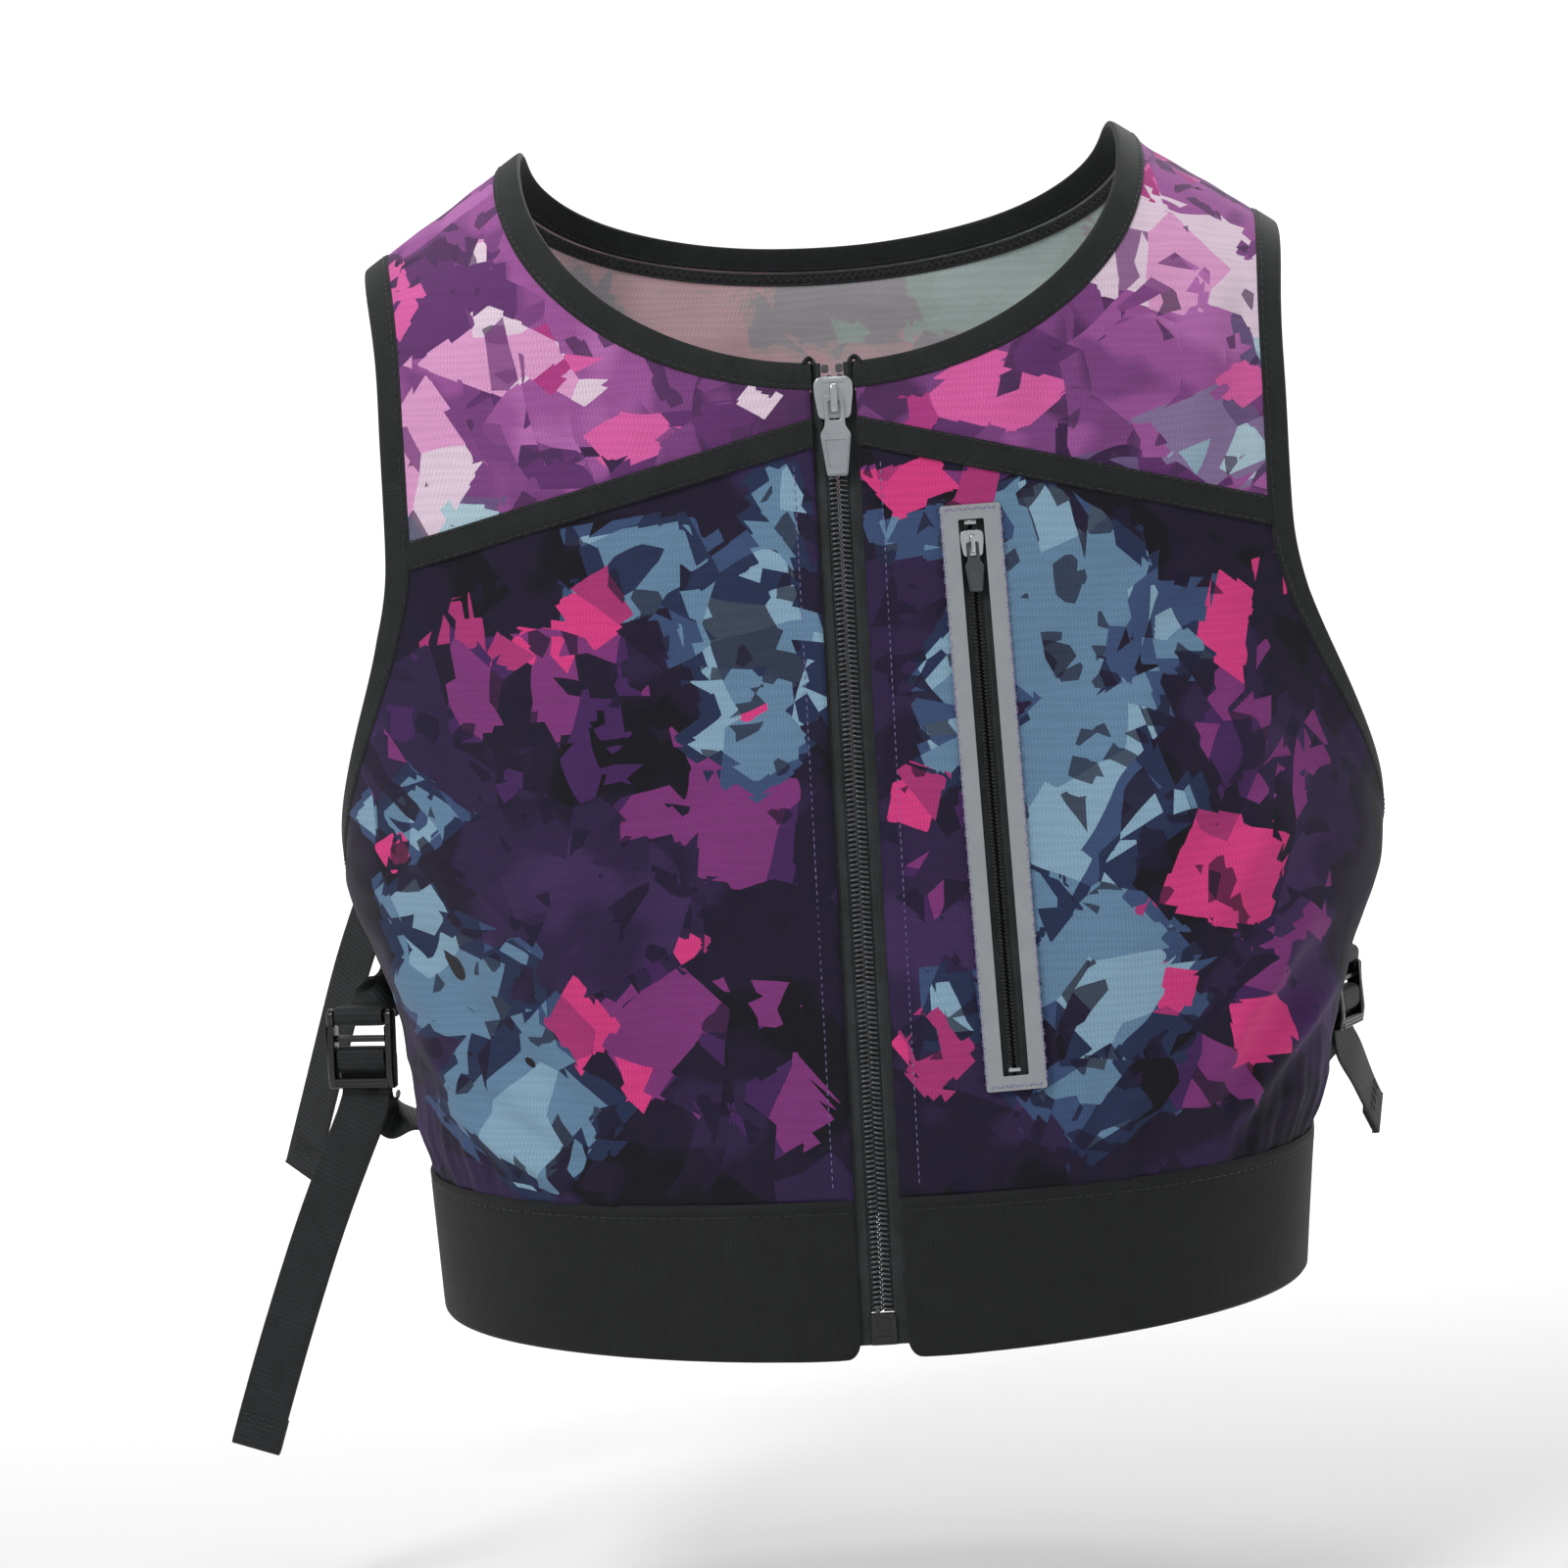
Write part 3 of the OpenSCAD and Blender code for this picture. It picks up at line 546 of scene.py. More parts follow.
def thread(path, radius, sides=5):
    """Round thread along a path."""
    path = np.asarray(path, float)
    t = tangents(path)
    side = unit(np.cross(t, [0.13, 0.2, 1.0]))
    up = np.cross(side, t)
    angle = np.linspace(0, 2 * math.pi, sides, endpoint=False)
    ring = np.stack([np.cos(angle), np.sin(angle)], -1) * radius
    profile = np.broadcast_to(ring, (len(path), sides, 2)).copy()
    profile[0] *= 0.5
    profile[-1] *= 0.5
    return sweep(path, side, up, profile)


def stitch_run(parts, path, normals, pitch, length, radius, sway=0.0, lift=0.0):
    """Row of sewn stitches, each one bowed up out of the cloth; sway makes it zigzag."""
    run = lengths(path)
    side = unit(np.cross(tangents(path), normals))
    starts = np.arange(pitch / 2, run[-1] - length, pitch)
    for k, start in enumerate(starts):
        at = start + np.linspace(0, length, 5)
        line = np.stack([np.interp(at, run, path[:, i]) for i in range(3)], -1)
        up = unit(np.stack([np.interp(at, run, normals[:, i]) for i in range(3)], -1))
        out = unit(np.stack([np.interp(at, run, side[:, i]) for i in range(3)], -1))
        bow = np.array([-0.8, 0.5, 0.9, 0.5, -0.8])[:, None] * radius + lift
        swing = np.linspace(-1, 1, 5)[:, None] * (sway if k % 2 else -sway)
        parts.add(*thread(line + up * bow + out * swing, radius, 5))


# ---- Materials ----

def linear(colour):
    """Linear colour from a hexadecimal one."""
    values = [int(colour[i:i + 2], 16) / 255 for i in (0, 2, 4)]
    return tuple(v / 12.92 if v <= 0.04045 else ((v + 0.055) / 1.055) ** 2.4 for v in values) + (1,)


class Shader:
    """Short forms for building a node material."""

    def __init__(self, name, roughness, **constants):
        self.material = bpy.data.materials.new(name)
        self.material.use_nodes = True
        self.tree = self.material.node_tree
        self.bsdf = self.tree.nodes["Principled BSDF"]
        self.bsdf.inputs["Roughness"].default_value = roughness
        for key, value in constants.items():
            self.bsdf.inputs[KEYS[key]].default_value = value

    def node(self, kind, inputs, output=0, **settings):
        node = self.tree.nodes.new(kind)
        for key, value in settings.items():
            setattr(node, key, value)
        for key, value in inputs.items():
            socket = node.inputs[key]
            if isinstance(value, bpy.types.NodeSocket):
                self.tree.links.new(value, socket)
            else:
                socket.default_value = value
        return node.outputs[output]

    def attribute(self, name, output="Vector"):
        return self.node("ShaderNodeAttribute", {}, output, attribute_name=name)

    def math(self, operation, a, b=0.0, c=0.0, clamp=False):
        return self.node("ShaderNodeMath", {0: a, 1: b, 2: c}, 0, operation=operation,
                         use_clamp=clamp)

    def vector(self, operation, a, b=(0, 0, 0), scale=1.0):
        return self.node("ShaderNodeVectorMath", {0: a, 1: b, 3: scale}, 0, operation=operation)

    def noise(self, vector, scale, detail=2.0, rough=0.5, output=0):
        return self.node("ShaderNodeTexNoise", {"Vector": vector, "Scale": scale,
                         "Detail": detail, "Roughness": rough}, output)

    def split(self, vector):
        node = self.tree.nodes.new("ShaderNodeSeparateXYZ")
        self.tree.links.new(vector, node.inputs[0])
        return node.outputs

    def blend(self, factor, a, b, mode="MIX"):
        a = linear(a) if isinstance(a, str) else a
        b = linear(b) if isinstance(b, str) else b
        return self.node("ShaderNodeMix", {0: factor, 6: a, 7: b}, 2, data_type="RGBA",
                         blend_type=mode)

    def ramp(self, value, stops):
        node = self.tree.nodes.new("ShaderNodeValToRGB")
        self.tree.links.new(value, node.inputs[0])
        points = node.color_ramp.elements
        while len(points) < len(stops):
            points.new(0.5)
        for element, (place, colour) in zip(points, stops):
            element.position = place
            element.color = linear(colour)
        return node.outputs[0]

    def sine(self, value, pitch):
        """A wave from 0 to 1 that repeats after a pitch in millimetres."""
        turns = self.math("MULTIPLY", value, 2 * math.pi / (pitch * MM))
        wave = self.math("SINE", turns)
        return self.math("MULTIPLY_ADD", wave, 0.5, 0.5)

    def finish(self, colour, height=None, depth=0.2, strength=0.6):
        self.tree.links.new(colour, self.bsdf.inputs["Base Color"])
        if height is not None:
            bump = self.node("ShaderNodeBump", {"Height": height, "Strength": strength,
                             "Distance": depth * MM})
            self.tree.links.new(bump, self.bsdf.inputs["Normal"])
        return self.material


KEYS = {"sheen": "Sheen Weight", "sheen_roughness": "Sheen Roughness", "metallic": "Metallic",
        "specular": "Specular IOR Level", "emission": "Emission Strength"}


def knitted(s, flat, place):
    """Knit's height, and a grey from it: painted shade in the low places of the slanted loops and
    painted highlight on their tops, and the faint bands where the panel's two layers interfere."""
    u, v, _ = s.split(flat)
    wale = s.sine(u, 0.95)
    course = s.sine(v, 0.62)
    slant = s.sine(s.math("ADD", u, s.math("MULTIPLY", v, 0.55)), 1.3)
    knit = s.math("MULTIPLY", s.math("MULTIPLY_ADD", wale, 0.6, 0.4),
                  s.math("MULTIPLY_ADD", course, 0.6, 0.4))
    knit = s.math("MULTIPLY_ADD", slant, 0.2, s.math("MULTIPLY", knit, 0.8))
    bands = s.noise(s.vector("MULTIPLY", place, (9, 60, 9)), 1.6, 2, 0.5)
    bands = s.sine(s.math("MULTIPLY_ADD", bands, 0.012, v), 2.6)
    # Painted shade and highlight: the knit's low places darken the colour and its raised loops
    # lighten it
    shade = s.math("MULTIPLY_ADD", knit, 0.42, 0.70)
    shade = s.math("MULTIPLY", shade, s.math("MULTIPLY_ADD", bands, 0.08, 0.95))
    return knit, s.node("ShaderNodeCombineColor", {0: shade, 1: shade, 2: shade})


def print_fabric(name, colours, seed):
    """Knitted mesh with a print of shards. The print attribute gives how thickly each kind of
    shard lies: red steel blue, green hot pink, blue magenta, alpha pale."""
    s = Shader(name, 0.82, sheen=0.03, sheen_roughness=0.5, specular=0.2)
    flat = s.attribute("flat")
    inside = s.attribute("inside", "Fac")
    blue, pink, magenta = s.split(s.attribute("print", "Color"))
    pale = s.attribute("print", "Alpha")
    place = s.vector("ADD", flat, seed)
    drift = s.noise(place, 26, 1.5, 0.5, output=1)
    drift = s.vector("SUBTRACT", drift, (0.5, 0.5, 0.5))
    warped = s.vector("ADD", place, s.vector("SCALE", drift, scale=0.012))

    def cells(vector, scale):
        return s.split(s.node("ShaderNodeTexVoronoi", {"Vector": vector, "Scale": scale}, "Color",
                              voronoi_dimensions="2D"))

    macro = cells(warped, 23)
    middle = cells(warped, 50)
    spun = s.node("ShaderNodeVectorRotate", {"Vector": warped,
                  "Angle": s.math("MULTIPLY", macro[0], 6.28)}, rotation_type="Z_AXIS")
    splinters = cells(s.vector("MULTIPLY", spun, (1, 2.3, 1)), 64)
    chips = cells(s.vector("MULTIPLY", spun, (1.7, 1, 1)), 150)

    def shards(amount, channel, gain, offset):
        """Solid where the amount is high, breaking up into splinters where it is low."""
        score = s.math("MULTIPLY_ADD", splinters[channel], 0.45,
                       s.math("MULTIPLY_ADD", middle[channel], 0.3,
                              s.math("MULTIPLY", macro[channel], 0.25)))
        return s.math("LESS_THAN", score, s.math("MULTIPLY_ADD", amount, gain, offset))

    cloud = s.noise(place, 20, 2, 0.5)
    cloud = s.math("MULTIPLY_ADD", macro[2], 0.22, s.math("MULTIPLY_ADD", middle[0], 0.16, cloud))
    colour = s.ramp(s.math("SUBTRACT", cloud, 0.19),
                    [(0.36, colours["dark"]), (0.40, colours["deep"]), (0.50, colours["deep"]),
                     (0.54, colours["mid"]), (0.64, colours["mid"]), (0.70, colours["light"])])
    # Two-toned layers, from the lowest: amount, channel, gain, offset, then the tones' channel,
    # their share and colours
    layers = [
        (magenta, 0, 1.0, 0.02, 1, 0.45, "magenta_dark", "magenta"),
        (blue, 1, 1.25, 0.0, 0, 0.5, "navy", "slate"),
        (blue, 1, 1.0, -0.16, 2, 0.62, "blue", "sky"),
        (pink, 2, 1.05, -0.06, 1, 0.3, "pink_dark", "pink"),
        (pale, 0, 0.98, -0.08, 2, 0.45, "pale_pink", "pale"),
    ]
    for amount, channel, gain, offset, tone, share, low, high in layers:
        two_tone = s.blend(s.math("GREATER_THAN", middle[tone], share), colours[low], colours[high])
        colour = s.blend(shards(amount, channel, gain, offset), colour, two_tone)
    flecks = s.math("GREATER_THAN", s.math("MULTIPLY_ADD", chips[1], 0.5,
                                           s.math("MULTIPLY", splinters[2], 0.5)), 0.79)
    colour = s.blend(s.math("MULTIPLY", flecks, 0.8), colour, colours["fleck"])
    cut = s.math("GREATER_THAN", s.math("MULTIPLY_ADD", middle[1], 0.35,
                                        s.math("MULTIPLY", splinters[0], 0.65)), 0.83)
    colour = s.blend(s.math("MULTIPLY", cut, 0.85), colour, colours["deep"])

    knit, grey = knitted(s, flat, place)
    # The knit's grey adds painted shade in the knit's low places and painted highlight on its
    # loops, to the print and to its reverse
    colour = s.blend(1.0, colour, grey, "MULTIPLY")
    reverse = s.blend(shards(pink, 2, 1.0, 0.1), colours["reverse"], colours["ghost_pink"])
    reverse = s.blend(shards(blue, 1, 1.0, 0.1), reverse, colours["ghost_green"])
    reverse = s.blend(1.0, reverse, grey, "MULTIPLY")
    colour = s.blend(s.math("MULTIPLY", inside, 0.84), colour, reverse)
    return s.finish(colour, knit, 0.12, 0.5)


LOWER_PRINT = {
    "dark": "15131c", "deep": "20192e", "mid": "2f2245", "light": "3f2c56",
    "magenta_dark": "45265a", "magenta": "7d3576", "navy": "26304f", "slate": "3c4f74",
    "blue": "6484a0", "sky": "86a6bc", "pink_dark": "a83572", "pink": "d63d80",
    "pale": "bccad6", "pale_pink": "d6a9ca", "fleck": "1d1830", "reverse": "6f6a78",
    "ghost_pink": "86707e", "ghost_green": "6f7c80"}
YOKE_PRINT = {
    "dark": "55305c", "deep": "7c4480", "mid": "9c5698", "light": "b46cae",
    "magenta_dark": "3c2449", "magenta": "62346c", "navy": "6c5681", "slate": "87739b",
    "blue": "93adbf", "sky": "aec8d4", "pink_dark": "b03d84", "pink": "d960a4",
    "pale": "e2ccdc", "pale_pink": "dd9cca", "fleck": "4b2f56", "reverse": "9a909e",
    "ghost_pink": "a8889c", "ghost_green": "93a39f"}
# The back's inside shows the print's reverse and its ghost, painted much lighter than the fronts'
# reverse: painted light for the light that comes through the sheer mesh
BACK_PRINT_LIT_INSIDE = dict(LOWER_PRINT, reverse="c2bdc2", ghost_pink="dcc4c6", ghost_green="c6d6ce")


def ribbed(name, base, lift, pitch, cross_pitch, roughness, sheen, depth=0.12):
    """Woven or folded tape: ribs along one way, a finer weave the other way, dusty wear, and a
    painted highlight on the ribs' raised tops.
    """
    s = Shader(name, roughness, sheen=sheen, sheen_roughness=0.4, specular=0.3)
    flat = s.attribute("flat")
    u, v, _ = s.split(flat)
    rib = s.sine(u, pitch)
    weave = s.sine(s.math("ADD", v, s.math("MULTIPLY", u, 0.7)), cross_pitch)
    height = s.math("MULTIPLY_ADD", rib, 0.65, s.math("MULTIPLY", weave, 0.35))
    worn = s.noise(flat, 110, 4, 0.65)
    fibre = s.noise(flat, 1100, 2, 0.6)
    # Painted highlight: the raised ribs are lightened in soft patches; the fine fibre fuzz in the
    # same patches is dusty wear
    amount = s.math("MULTIPLY", height, s.math("MULTIPLY", worn, 0.7))
    amount = s.math("MULTIPLY_ADD", s.math("MULTIPLY", fibre, worn), 0.75, amount, clamp=True)
    colour = s.blend(amount, base, lift)
    return s.finish(colour, height, depth, 0.6)


def plastic(name, base, lift, roughness, **constants):
    s = Shader(name, roughness, **constants)
    place = s.node("ShaderNodeTexCoord", {}, "Object")
    cloud = s.noise(place, 160, 3, 0.6)
    grain = s.noise(place, 2600, 2, 0.5)
    colour = s.blend(s.math("MULTIPLY_ADD", cloud, 0.8, 0.1), base, lift)
    return s.finish(colour, grain, 0.03, 0.25)


def thread_material(name, base, lift):
    s = Shader(name, 0.55, sheen=0.2, specular=0.4)
    place = s.node("ShaderNodeTexCoord", {}, "Object")
    colour = s.blend(s.noise(place, 300, 2), base, lift)
    return s.finish(colour, s.noise(place, 3000, 1), 0.03, 0.4)


def reflective(name):
    """Grey tape faced with tiny glass beads."""
    s = Shader(name, 0.42, specular=0.6, sheen=0.1)
    flat = s.attribute("flat")
    beads = s.node("ShaderNodeTexVoronoi", {"Vector": flat, "Scale": 3800.0}, "Distance")
    scuff = s.noise(flat, 130, 4, 0.65)
    colour = s.blend(scuff, "84888c", "9ca0a3")
    colour = s.blend(s.math("MULTIPLY", beads, 0.25), colour, "70747a")
    return s.finish(colour, beads, 0.02, 0.4)


def lining_fabric(name, base, lift):
    s = Shader(name, 0.85, sheen=0.15, specular=0.2)
    flat = s.attribute("flat")
    u, v, _ = s.split(flat)
    knit = s.math("MULTIPLY", s.sine(u, 1.1), s.sine(v, 0.8))
    cloud = s.noise(flat, 60, 3)
    # Painted highlight: the knit's raised loops are lighter, over a cloud of tone that differs at
    # random
    colour = s.blend(s.math("MULTIPLY_ADD", cloud, 0.4, s.math("MULTIPLY", knit, 0.5)), base, lift)
    return s.finish(colour, knit, 0.12, 0.5)


lower_print = print_fabric("lower_print", LOWER_PRINT, (0.31, 0.17, 0))
yoke_print = print_fabric("yoke_print", YOKE_PRINT, (0.77, 0.43, 0))
back_print = print_fabric("back_print", BACK_PRINT_LIT_INSIDE, (1.31, 0.89, 0))
lining = lining_fabric("lining_mesh", "0e0e12", "2b2b33")
stretch = lining_fabric("stretch_fabric", "08080a", "1c1c20")
binding_cloth = ribbed("binding", "0b0d0d", "2b2f30", 0.85, 0.5, 0.75, 0.04)
tape_cloth = ribbed("seam_tape", "0a0c0c", "272b2c", 0.7, 0.6, 0.78, 0.04)
band_cloth = ribbed("waistband", "070809", "1d2021", 1.05, 0.42, 0.72, 0.03, 0.16)
zip_cloth = ribbed("zip_tape", "0d0f0f", "424748", 0.8, 0.8, 0.75, 0.05)
web_cloth = ribbed("webbing", "090a0b", "2d3133", 1.5, 0.55, 0.6, 0.05, 0.25)
coil_nylon = plastic("coil_nylon", "24272a", "4d5155", 0.24, specular=0.8)
box_plastic = plastic("box_plastic", "0b0c0d", "1c1e20", 0.38)
lock_acetal = plastic("lock_acetal", "050506", "111214", 0.22, specular=0.6)
slider_metal = plastic("slider_enamel", "9da1a5", "c2c6c9", 0.3, metallic=0.75)
pull_metal = plastic("pull_satin", "868b8f", "a6abaf", 0.38, metallic=0.35)
dark_metal = plastic("pocket_pull_satin", "3a3d40", "54585c", 0.36, metallic=0.35)
chrome = plastic("chrome", "b9bdc1", "dadde0", 0.16, metallic=1.0)
silver_tape = reflective("reflective_tape")
violet_thread = thread_material("violet_thread", "4c3c80", "9d90c2")
black_thread = thread_material("black_thread", "0b0c0d", "2c2f31")


# ---- Print: where the kinds of shard lie ----
# Soft patches: x, z, half width, half height, amount

BLUE = [
    (-24, -122, 26, 38, 0.95), (-52, -104, 22, 16, 0.75), (-26, -150, 20, 14, 0.9),
    (-66, -112, 14, 10, 0.5), (-122, -170, 16, 12, 0.85), (-112, -216, 22, 22, 0.9),
    (-92, -250, 26, 24, 0.95), (-124, -196, 12, 16, 0.7), (-98, -228, 16, 20, 0.6),
    (58, -118, 24, 34, 0.95), (66, -168, 26, 34, 0.9), (64, -216, 26, 30, 0.95),
    (60, -254, 22, 20, 0.8), (92, -126, 18, 18, 0.7), (26, -148, 12, 20, 0.8),
    (20, -98, 16, 10, 0.55), (26, -226, 14, 14, 0.6), (82, -228, 14, 16, 0.55),
    (52, -92, 14, 10, 0.8), (48, -190, 12, 40, 0.75),
]
PINK = [
    (-66, -114, 10, 10, 0.9), (-84, -124, 14, 9, 0.6), (-110, -116, 12, 12, 0.5),
    (-78, -226, 9, 14, 0.95), (-66, -240, 10, 12, 0.5), (-128, -180, 6, 6, 0.8),
    (-112, -136, 14, 8, 0.45), (20, -84, 14, 8, 0.85), (36, -86, 10, 8, 0.5),
    (16, -170, 10, 13, 0.9), (18, -236, 12, 13, 0.9), (98, -194, 20, 16, 1.0),
    (106, -126, 9, 16, 0.85), (118, -116, 8, 10, 0.6), (86, -226, 10, 10, 0.7),
    (108, -240, 14, 14, 0.6), (-28, -142, 10, 5, 0.4), (-52, -206, 12, 10, 0.35),
]
MAGENTA = [
    (-30, -176, 18, 20, 0.95), (-34, -222, 30, 16, 0.6), (-24, -252, 20, 16, 0.85),
    (-88, -134, 34, 20, 0.6), (-76, -168, 44, 20, 0.45), (-120, -150, 18, 20, 0.5),
    (-58, -226, 16, 20, 0.75), (22, -196, 14, 24, 0.4), (110, -160, 20, 26, 0.55),
    (118, -226, 18, 26, 0.6), (36, -80, 30, 8, 0.5), (88, -252, 26, 16, 0.5),
]
YOKE_PALE = [
    (-90, -44, 22, 12, 0.9), (-112, -70, 14, 20, 0.95), (-100, -16, 12, 10, 0.35),
    (88, -24, 32, 20, 1.0), (112, -36, 14, 14, 0.85), (70, -10, 14, 12, 0.6),
    (-68, -52, 12, 8, 0.55), (-20, -60, 6, 5, 0.5),
]
YOKE_PINK = [
    (-76, -44, 20, 14, 0.6), (-58, -66, 22, 14, 0.6), (44, -62, 24, 12, 0.6),
    (-120, -28, 10, 16, 0.6), (20, -66, 10, 8, 0.5), (96, -6, 16, 12, 0.5),
    (114, -62, 10, 8, 0.6),
]
YOKE_MAGENTA = [
    (-104, -30, 22, 16, 0.9), (-70, -76, 26, 10, 0.6), (-36, -68, 16, 10, 0.5),
    (60, -52, 20, 12, 0.5), (90, -84, 34, 16, 0.55), (28, -72, 20, 8, 0.55),
    (-92, -60, 12, 12, 0.5), (110, -10, 12, 10, 0.4), (70, -78, 18, 10, 0.5),
]
BACK_NECK_PINK = [(-44, -30, 30, 26, 0.9), (-12, -52, 26, 12, 0.7), (20, -48, 20, 9, 0.5)]
BACK_NECK_GREEN = [(56, -26, 26, 30, 1.0), (6, -38, 12, 8, 0.5), (34, -24, 14, 10, 0.5)]
YOKE_BLUE = [
    (-108, -88, 18, 9, 1.0), (-122, -80, 8, 8, 0.8), (104, -76, 26, 18, 0.55),
    (76, -88, 26, 14, 0.35), (118, -52, 8, 18, 0.5),
]


def patches(x, z, places):
    """Soft diamonds, each turned its own way: straight edges suit the shards."""
    total = np.zeros_like(x)
    for px, pz, wide, tall, amount in places:
        angle = 0.31 * px + 0.47 * pz
        across, up = (x - px) / wide, (z - pz) / tall
        run = np.abs(across * math.cos(angle) + up * math.sin(angle))
        rise = np.abs(up * math.cos(angle) - across * math.sin(angle))
        total = np.maximum(total, amount * np.clip(1.6 - run - rise, 0, 1))
    return total


def print_densities(grid, kind):
    """How thickly each kind of shard lies on a piece; the back wears both fronts' print."""
    x, z = grid[..., 0], grid[..., 2]
    if kind == "yoke":
        kinds = (YOKE_BLUE, YOKE_PINK, YOKE_MAGENTA, YOKE_PALE)
    elif kind == "lower":
        kinds = (BLUE, PINK, MAGENTA, [])
    else:
        x = 14 - 1.05 * x
        kinds = (BLUE + YOKE_BLUE, PINK + YOKE_PINK, MAGENTA + YOKE_MAGENTA, [])
        upper = [patches(grid[..., 0], z, k) for k in (BACK_NECK_GREEN, BACK_NECK_PINK, [], [])]
        return np.stack([np.maximum(patches(x, z, k), u) for k, u in zip(kinds, upper)], -1)
    return np.stack([patches(x, z, k) for k in kinds], -1)


def cloth_attributes(grid, along, kind, used):
    """Cloth coordinates, print densities and the inside flag of a shell's points."""
    u, v = cloth_place(grid, along)
    flat = np.stack([u, v, np.zeros_like(u)], -1)
    inside = np.concatenate([np.zeros(u.size), np.ones(u.size)])
    return {"flat": on_both_faces(flat, used) * MM,
            "print": on_both_faces(print_densities(grid, kind), used), "inside": inside[used]}


# Pieces of cloth, their worn surfaces and what is sewn on them, gone through at the end
SHEETS = []


def cloth_panel(name, grid, fade, along, low, high, displacement, material, nodes, kind,
                keep=None):
    """Sheet of cloth between two depths below a worn surface that is displaced by its folds."""
    n = grid_normals(grid)
    moved = grid + n * (displacement * fade)[..., None]
    points, faces, used = shell(moved, low, high, keep)
    obj = make_piece(name, points, faces, material, "vest", nodes,
                     cloth_attributes(grid, along, kind, used), sharp=0)
    SHEETS.append((obj, grid, keep))
    return moved


# ---- Front panels ----

POCKET_X = 37.3
POCKET_Z = -170.3
POCKET_YAW = 5.2
POCKET_ROLL = 1.1
POCKET_WIDTH = 16.6
POCKET_HEIGHT = 159
POCKET_SLOT = 7
POCKET_CHAIN_Y = 1.75
LEAN = math.degrees(math.atan(ZIP_FORWARD / ZIP_LENGTH))
UNDER = 6.0          # how far the panels' edges go into the folded bindings
FACING_X = 11.7      # topstitching beside the zip
PRINT_SHIFT = {"left": 0, "right": 400}       # the sides are cut from different places


def turn(axis, degrees):
    return np.array(Matrix.Rotation(math.radians(degrees), 3, axis))


MAIN_TURN = turn("X", -LEAN)
ZIP_SUNK = 1.5       # the chain lies this far behind the panels' face
MAIN_ORIGIN = np.array([0, ZIP_SUNK - NECK_DEPTH, NECK_Z])
POCKET_TURN = turn("Z", POCKET_YAW) @ turn("Y", -POCKET_ROLL) @ turn("X", -LEAN)
POCKET_ORIGIN = front_at(np.array([POCKET_X, POCKET_Z], float))


def at_main_zip(p):
    return np.asarray(p, float) @ MAIN_TURN.T + MAIN_ORIGIN


def at_pocket(p):
    return np.asarray(p, float) @ POCKET_TURN.T + POCKET_ORIGIN


def at_pocket_chain(p):
    return at_pocket(np.asarray(p, float) + [0, POCKET_CHAIN_Y, POCKET_HEIGHT / 2])


def front_outline(inner_x, inset, rows, bottom):
    """Inner and outer edges of a front panel, from the yoke seam down, as x and z."""
    top_x = ARM_X - inset
    z_in = np.linspace(yoke_seam_z(inner_x) - 0.3, bottom, rows + 1)
    z_out = np.linspace(yoke_seam_z(top_x) - 0.3, bottom, rows + 1)
    inner = np.stack([np.full_like(z_in, inner_x), z_in], -1)
    outer = np.stack([side_x(front_arm_angle(z_out, inset), z_out), z_out], -1)
    return inner, outer


def front_folds(grid, along):
    x, z = grid[..., 0], grid[..., 2]
    d = 0.75 * ripple(x, z, SOFT) + 0.2 * ripple(x, z, FINE)
    for start, end, width, depth in CREASES:
        d = d + 1.5 * crease(x, z, start, end, width, depth)
    # Gathers where the panel is eased on to the waistband
    gather = np.exp(-(z - WAIST_Z) / 16)
    d = d + 0.75 * gather * np.sin(2 * math.pi * (along / 13 + 0.5 * np.sin(along / 31)))
    d = d + 0.35 * gather * np.sin(2 * math.pi * along / 6.3 + 1)
    return d


def facing_step(x, z):
    """The panel is folded under and topstitched beside the zip."""
    step = 0.35 * (1 - smooth(FACING_X - 0.7, FACING_X + 0.8, x))
    groove = 0.35 * np.exp(-((x - FACING_X) / 0.6) ** 2)
    pucker = 0.12 * np.exp(-((x - FACING_X) / 3.5) ** 2) * np.sin(2 * math.pi * z / 4.4 + 0.05 * z)
    return step - groove + pucker


def flat_under_pocket(grid, folds):
    """The pocket's frame is stiff: the cloth lies flat under it and puckers round it, and is
    cut away behind its slot."""
    local = (grid - POCKET_ORIGIN) @ POCKET_TURN
    over_x = np.abs(local[..., 0]) - POCKET_WIDTH / 2
    over_z = np.abs(local[..., 2]) - POCKET_HEIGHT / 2
    reach = np.maximum(over_x, over_z)
    pucker = 0.22 * np.exp(-(np.maximum(reach, 0) / 4) ** 2) * smooth(-0.5, 1, reach)
    folds = folds * smooth(1, 16, reach) + pucker * np.sin(local[..., 2] * 2 * math.pi / 5.2)
    middle = (local[:-1, :-1] + local[1:, 1:]) / 2
    behind_slot = (np.abs(middle[..., 0]) < 5.2) & (np.abs(middle[..., 2]) < 77.5)
    return folds, ~behind_slot


panel_surfaces = {}
for side in SIDES:
    inner, outer = front_outline(PANEL_EDGE, UNDER, 165, WAIST_Z + 0.3)
    grid = front_at(spread(inner, outer, 150))
    fade, along, down = edge_fade(grid, (10, 0, 0, 12))
    near_zip = smooth(6, 40, grid[..., 0])
    edge = 0.3 + 0.7 * smooth(0, 7, down[-1:] - down)
    stitched = facing_step(grid[..., 0], grid[..., 2])
    grid, fade, along, near_zip, stitched, edge = on_side(
        side, grid, fade, along, near_zip, stitched, edge)
    grid = settle(grid)
    print_along = along + PRINT_SHIFT[side]
    folds = front_folds(grid, print_along) * near_zip
    keep = None
    if side == "left":
        folds, keep = flat_under_pocket(grid, folds)
    panel_surfaces[side] = cloth_panel(
        f"front_cloth_{side}", grid, fade * edge, print_along, -CLOTH, 0.0, folds + stitched,
        lower_print, [f"front_panel_{side}"], "lower", keep)

# ---- Yokes ----

